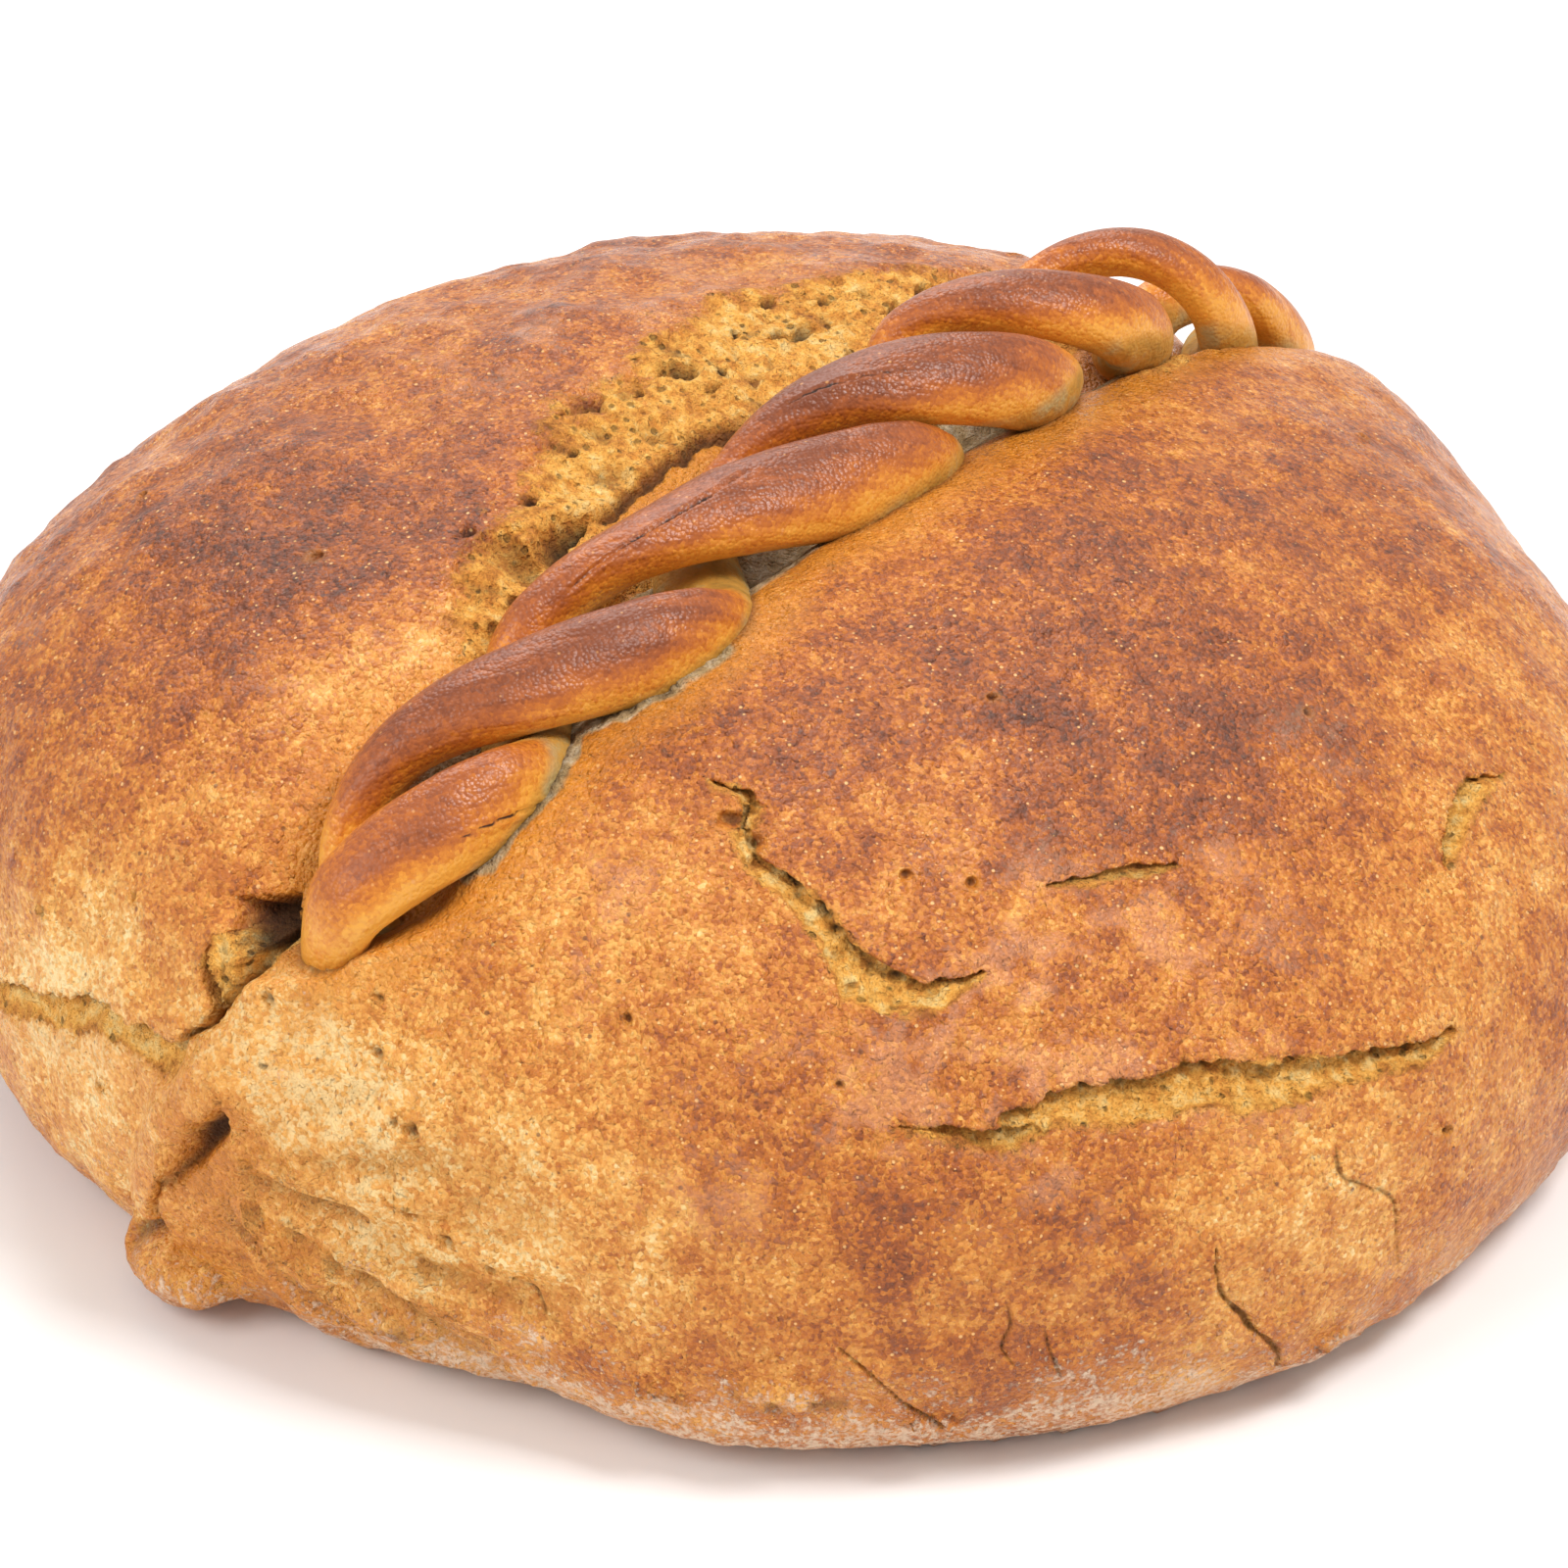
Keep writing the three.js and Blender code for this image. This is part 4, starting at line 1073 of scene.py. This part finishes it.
def bakedCrust():
    # Wheat crust from a hot oven: a thin glazing of starch over browned dough, so its gloss is soft and
    # broken by fine blisters and the colour changes in patches, mottles and specks. Pale pink painted sheen
    # in patches stands in for broken highlights, and painted shade darkens its hollows, cracks and pores
    look = crustFinish
    made, tree, shader = newMaterial("bakedWheatCrust")
    place = addNode(tree, "TexCoord").outputs["Object"]
    marks = {name: addNode(tree, "Attribute", attribute_name=name).outputs["Fac"]
             for name in ("bake",) + crustMarks}
    beads = addNode(tree, "TexVoronoi", {"Vector": place, "Scale": 1000 / look["beads"]})
    clouds = {}
    tone = marks["bake"]
    for name, (size, detail, roughness, weight) in look["clouds"].items():
        clouds[name] = addNode(tree, "TexNoise", {"Vector": place, "Scale": 1000 / size, "Detail": detail,
                                                  "Roughness": roughness})
        tone = addNode(tree, "Math", {0: clouds[name], 1: weight, 2: tone}, operation="MULTIPLY_ADD")
    mottle, fine = clouds["mottle"], clouds["fine"]
    tone = addNode(tree, "Math", {0: beads.outputs["Color"], 1: look["beadBrowning"], 2: tone},
                   operation="MULTIPLY_ADD")
    tone = addNode(tree, "Math", {0: tone, 1: look["evenTone"]}, operation="SUBTRACT")
    palest, darkest = look["browning"][0][0], look["browning"][-1][0]
    shade = addNode(tree, "MapRange", {"Value": tone, "From Min": palest, "From Max": darkest})
    colour = addNode(tree, "ValToRGB", {"Fac": shade},
                     stops=[((at - palest) / (darkest - palest), code) for at, code in look["browning"]])

    for size, leftOut, radius, edge, strength, code in look["specks"]:
        seeds = addNode(tree, "TexVoronoi", {"Vector": place, "Scale": 1000 / size})
        reach = addNode(tree, "MapRange", {"Value": seeds.outputs["Color"], "From Min": leftOut,
                                           "To Max": radius})
        speck = addNode(tree, "Math", {0: reach, 1: seeds.outputs["Distance"]}, operation="SUBTRACT")
        speck = addNode(tree, "MapRange", {"Value": speck, "From Max": edge, "To Max": strength})
        colour = addNode(tree, "MixRGB", {"Fac": speck, "Color1": colour, "Color2": linear(code)})

    # painted sheen: pale pink mixed in where the sheen patches, fine noise and beads are high, standing in
    # for highlights
    paintedSheenMix = addNode(tree, "Math", {0: fine, 1: 1.2, 2: marks["paintedSheen"]}, operation="MULTIPLY_ADD")
    paintedSheenMix = addNode(tree, "Math", {0: beads.outputs["Color"], 1: 0.3, 2: paintedSheenMix}, operation="MULTIPLY_ADD")
    paintedSheenMix = addNode(tree, "MapRange", {"Value": paintedSheenMix, "From Min": 1, "From Max": 1.5, "To Max": 0.26})
    golden = addNode(tree, "Math", {0: marks["gold"], 1: mottle}, operation="MULTIPLY")
    golden = addNode(tree, "Math", {0: golden, 1: 1.6}, operation="MULTIPLY", use_clamp=True)

    # torn crumb, with a ragged edge and a cell of painted shade wherever a bubble was cut open
    opened = addNode(tree, "Math", {0: mottle, 1: 0.9, 2: marks["crumb"]}, operation="MULTIPLY_ADD")
    opened = addNode(tree, "Math", {0: fine, 1: 0.9, 2: opened}, operation="MULTIPLY_ADD")
    opened = addNode(tree, "MapRange", {"Value": opened, "From Min": 1.25, "From Max": 1.5})
    grain = addNode(tree, "TexNoise", {"Vector": place, "Scale": look["grain"], "Detail": 5,
                                       "Roughness": 0.7})
    paleness = addNode(tree, "Math", {0: marks["crumb"], 1: 0.3, 2: grain}, operation="MULTIPLY_ADD")
    paleness = addNode(tree, "Math", {0: paleness, 1: 0.27}, operation="SUBTRACT")
    crumb = addNode(tree, "ValToRGB", {"Fac": paleness}, stops=look["crumb"])
    cells = addNode(tree, "TexVoronoi", {"Vector": place, "Scale": 1000 / look["cells"]})
    cellSize = addNode(tree, "MapRange", {"Value": cells.outputs["Color"], "From Min": 0.42,
                                          "From Max": 0.8, "To Max": 0.36})
    cell = addNode(tree, "Math", {0: cellSize, 1: cells.outputs["Distance"]}, operation="SUBTRACT")
    cell = addNode(tree, "MapRange", {"Value": cell, "From Min": -0.04, "From Max": 0.14, "To Max": 0.8})
    crumb = addNode(tree, "MixRGB", {"Fac": cell, "Color1": crumb, "Color2": linear(look["cell"])})

    beige = addNode(tree, "ValToRGB", {"Fac": grain}, stops=look["seam"])
    wet = addNode(tree, "MapRange", {"Value": marks["seam"], "From Min": 0.25, "From Max": 0.7})
    dust = marks["flour"]
    for pattern, weight in ((fine, 1.1), (beads.outputs["Color"], 0.4), (mottle, 0.5)):
        dust = addNode(tree, "Math", {0: pattern, 1: weight, 2: dust}, operation="MULTIPLY_ADD")
    dust = addNode(tree, "MapRange", {"Value": dust, "From Min": 1.4, "From Max": 1.68, "To Max": 0.85})
    # painted shade: the colour goes towards deep brown by the shade mark
    hollow = addNode(tree, "Math", {0: marks["paintedShade"], 1: 0.92}, operation="MULTIPLY")
    for share, over in ((paintedSheenMix, linear(look["paintedSheenMix"])), (golden, linear(look["gold"])), (opened, crumb),
                        (wet, beige), (dust, linear(look["flour"])), (hollow, linear(look["deep"]))):
        colour = addNode(tree, "MixRGB", {"Fac": share, "Color1": colour, "Color2": over})
    tree.links.new(colour.outputs[0], shader.inputs["Base Color"])

    matt = opened
    for dull in (dust, wet, marks["paintedShade"]):
        matt = addNode(tree, "Math", {0: matt, 1: dull}, operation="MAXIMUM")
    smooth, coarse = look["roughness"]
    gloss = addNode(tree, "MapRange", {"Value": clouds["blotch"], "From Min": 0.36, "From Max": 0.64,
                                       "To Min": smooth, "To Max": coarse})
    gloss = addNode(tree, "Math", {0: marks["paintedSheen"], 1: look["sheenSpotGloss"], 2: gloss},
                    operation="MULTIPLY_ADD")
    rough = addNode(tree, "MapRange", {"Value": matt, "To Min": gloss, "To Max": look["matt"]})
    tree.links.new(rough.outputs[0], shader.inputs["Roughness"])
    shader.inputs["IOR"].default_value = look["ior"]
    shader.inputs["Specular IOR Level"].default_value = look["specular"]

    perMetre, height = look["blisters"]
    blisters = addNode(tree, "TexNoise", {"Vector": place, "Scale": perMetre, "Detail": 5,
                                          "Roughness": 0.62, "Distortion": 0.5})
    torn = addNode(tree, "Math", {0: cell, 1: -0.35, 2: grain}, operation="MULTIPLY_ADD")
    torn = addNode(tree, "Math", {0: torn, 1: 0.5}, operation="SUBTRACT")
    torn = addNode(tree, "Math", {0: torn, 1: opened}, operation="MULTIPLY")
    bump = addNode(tree, "Bump", {"Height": blisters, "Distance": height})
    for pattern, height, inward in ((beads, look["beadRelief"], True), (fine, look["fineRelief"], False),
                                    (torn, look["tornRelief"], False)):
        bump = addNode(tree, "Bump", {"Height": pattern, "Distance": height, "Normal": bump}, invert=inward)
    tree.links.new(bump.outputs[0], shader.inputs["Normal"])
    return made


ropeFinish = {
    "browning": [(0.05, "#e8a23e"), (0.25, "#d8862c"), (0.45, "#be6a24"), (0.66, "#a35627"),
                 (0.95, "#7d3f20")],
    # deep: colour of the painted shade in the slits
    "crease": [(0.3, "#94702a"), (0.5, "#c48f36"), (0.65, "#b3a06c")], "deep": "#341a0c",
    "streak": 2.6, "fine": 1.25, "beads": 0.75, "seeds": 1.5,  # sizes in mm
    "mottle": 110, "evenTone": 0.97, "lightSpeck": "#e8a866",  # mottle in patches per metre
    "roughness": (0.28, 0.44), "matt": 0.8, "ior": 1.45,
    "streakRelief": 0.0002, "mottleRelief": 0.0005, "beadRelief": 0.00015,
}


def ropeCrust():
    # The same dough rolled thin and baked harder: mahogany on its crests, amber on its sides, unbaked and
    # grey where the strands touched; drawn streaks run along it and its skin is tighter and glossier. Its
    # slits are painted near black for the shade inside them
    look = ropeFinish
    made, tree, shader = newMaterial("rolledDoughCrust")
    place = addNode(tree, "TexCoord").outputs["Object"]
    drawn = addNode(tree, "Attribute", attribute_name="unrolled").outputs["Vector"]
    marks = {name: addNode(tree, "Attribute", attribute_name=name).outputs["Fac"]
             for name in ("bake", "crease", "slit")}
    streak = addNode(tree, "TexNoise", {"Vector": drawn, "Scale": 1000 / look["streak"], "Detail": 3,
                                        "Roughness": 0.6})
    mottle = addNode(tree, "TexNoise", {"Vector": place, "Scale": look["mottle"], "Detail": 4,
                                        "Roughness": 0.6})
    fine = addNode(tree, "TexNoise", {"Vector": place, "Scale": 1000 / look["fine"], "Detail": 3,
                                      "Roughness": 0.7})
    beads = addNode(tree, "TexVoronoi", {"Vector": place, "Scale": 1000 / look["beads"]})
    tone = marks["bake"]
    for pattern, weight in ((streak, 0.6), (mottle, 0.6), (fine, 0.4), (beads.outputs["Color"], 0.28)):
        tone = addNode(tree, "Math", {0: pattern, 1: weight, 2: tone}, operation="MULTIPLY_ADD")
    tone = addNode(tree, "Math", {0: tone, 1: look["evenTone"]}, operation="SUBTRACT")
    colour = addNode(tree, "ValToRGB", {"Fac": tone}, stops=look["browning"])
    seeds = addNode(tree, "TexVoronoi", {"Vector": place, "Scale": 1000 / look["seeds"]})
    reach = addNode(tree, "MapRange", {"Value": seeds.outputs["Color"], "From Min": 0.4, "To Max": 0.32})
    speck = addNode(tree, "Math", {0: reach, 1: seeds.outputs["Distance"]}, operation="SUBTRACT")
    speck = addNode(tree, "MapRange", {"Value": speck, "From Max": 0.12, "To Max": 0.5})
    beige = addNode(tree, "ValToRGB", {"Fac": mottle}, stops=look["crease"])
    unbaked = addNode(tree, "MapRange", {"Value": marks["crease"], "From Min": 0.3, "From Max": 0.95})
    # painted shade in the slits, broken up by the mottle
    broken = addNode(tree, "Math", {0: marks["slit"], 1: mottle}, operation="MULTIPLY")
    broken = addNode(tree, "MapRange", {"Value": broken, "From Min": 0.3, "From Max": 0.5})
    for share, over in ((speck, linear(look["lightSpeck"])), (unbaked, beige),
                        (broken, linear(look["deep"]))):
        colour = addNode(tree, "MixRGB", {"Fac": share, "Color1": colour, "Color2": over})
    tree.links.new(colour.outputs[0], shader.inputs["Base Color"])
    smooth, coarse = look["roughness"]
    gloss = addNode(tree, "MapRange", {"Value": mottle, "From Min": 0.3, "From Max": 0.7, "To Min": smooth,
                                       "To Max": coarse})
    rough = addNode(tree, "MapRange", {"Value": unbaked, "To Min": gloss, "To Max": look["matt"]})
    tree.links.new(rough.outputs[0], shader.inputs["Roughness"])
    shader.inputs["IOR"].default_value = look["ior"]
    bump = addNode(tree, "Bump", {"Height": streak, "Distance": look["streakRelief"]})
    bump = addNode(tree, "Bump", {"Height": mottle, "Distance": look["mottleRelief"], "Normal": bump})
    bump = addNode(tree, "Bump", {"Height": beads, "Distance": look["beadRelief"], "Normal": bump},
                   invert=True)
    tree.links.new(bump.outputs[0], shader.inputs["Normal"])
    return made


def tableTop():
    # Matt white laminate: an even, nearly white diffuse surface
    made, tree, shader = newMaterial("whiteLaminate")
    shader.inputs["Base Color"].default_value = linear("#fbf9f8")
    shader.inputs["Roughness"].default_value = 0.6
    return made


crust.data.materials.append(bakedCrust())
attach(crust, "root")
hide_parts("loaf")
strandMaterial = ropeCrust()
for name, strand in strands.items():
    made = rollStrand(name, strand)
    made.data.materials.append(strandMaterial)
    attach(made, "root")
    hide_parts(strand["node"])


# Floor, light and camera

def makeFloor():
    deselectAll()
    bpy.ops.mesh.primitive_plane_add(size=8)
    floor = bpy.context.object
    floor.name = "paleFloor"
    floor.data.materials.append(tableTop())


def makeLight(name, azimuth, elevation, distance, size, power):
    place = Vector(heading(azimuth, elevation)) * distance
    bpy.ops.object.light_add(type="AREA", location=place)
    lamp = bpy.context.object
    lamp.name = name
    lamp.data.size = size
    lamp.data.energy = power
    lamp.rotation_euler = place.to_track_quat("Z", "Y").to_euler()


def makeCamera():
    view = {"azimuth": -142, "elevation": 33, "distance": 1.1, "target": (-0.0037, 0.0053, 0.045),
            "lens": 140.76, "rise": -0.015}
    back = Vector(heading(view["azimuth"], view["elevation"]))
    bpy.ops.object.camera_add(location=Vector(view["target"]) + back * view["distance"])
    camera = bpy.context.object
    camera.rotation_euler = back.to_track_quat("Z", "Y").to_euler()
    camera.data.lens = view["lens"]
    camera.data.shift_y = view["rise"]
    bpy.context.scene.camera = camera


deselectAll()
makeFloor()
makeLight("topSoftbox", -74, 62, 1.4, 0.45, 12)
makeLight("leftSoftbox", 160, 42, 1.5, 0.8, 8)
makeLight("rearSoftbox", 50, 40, 1.5, 0.9, 9)
makeCamera()
world = bpy.data.worlds.new("studio")
world.use_nodes = True
world.node_tree.nodes["Background"].inputs["Color"].default_value = (1, 1, 1, 1)
world.node_tree.nodes["Background"].inputs["Strength"].default_value = 0.58
bpy.context.scene.world = world
bpy.context.scene.view_settings.view_transform = "Standard"
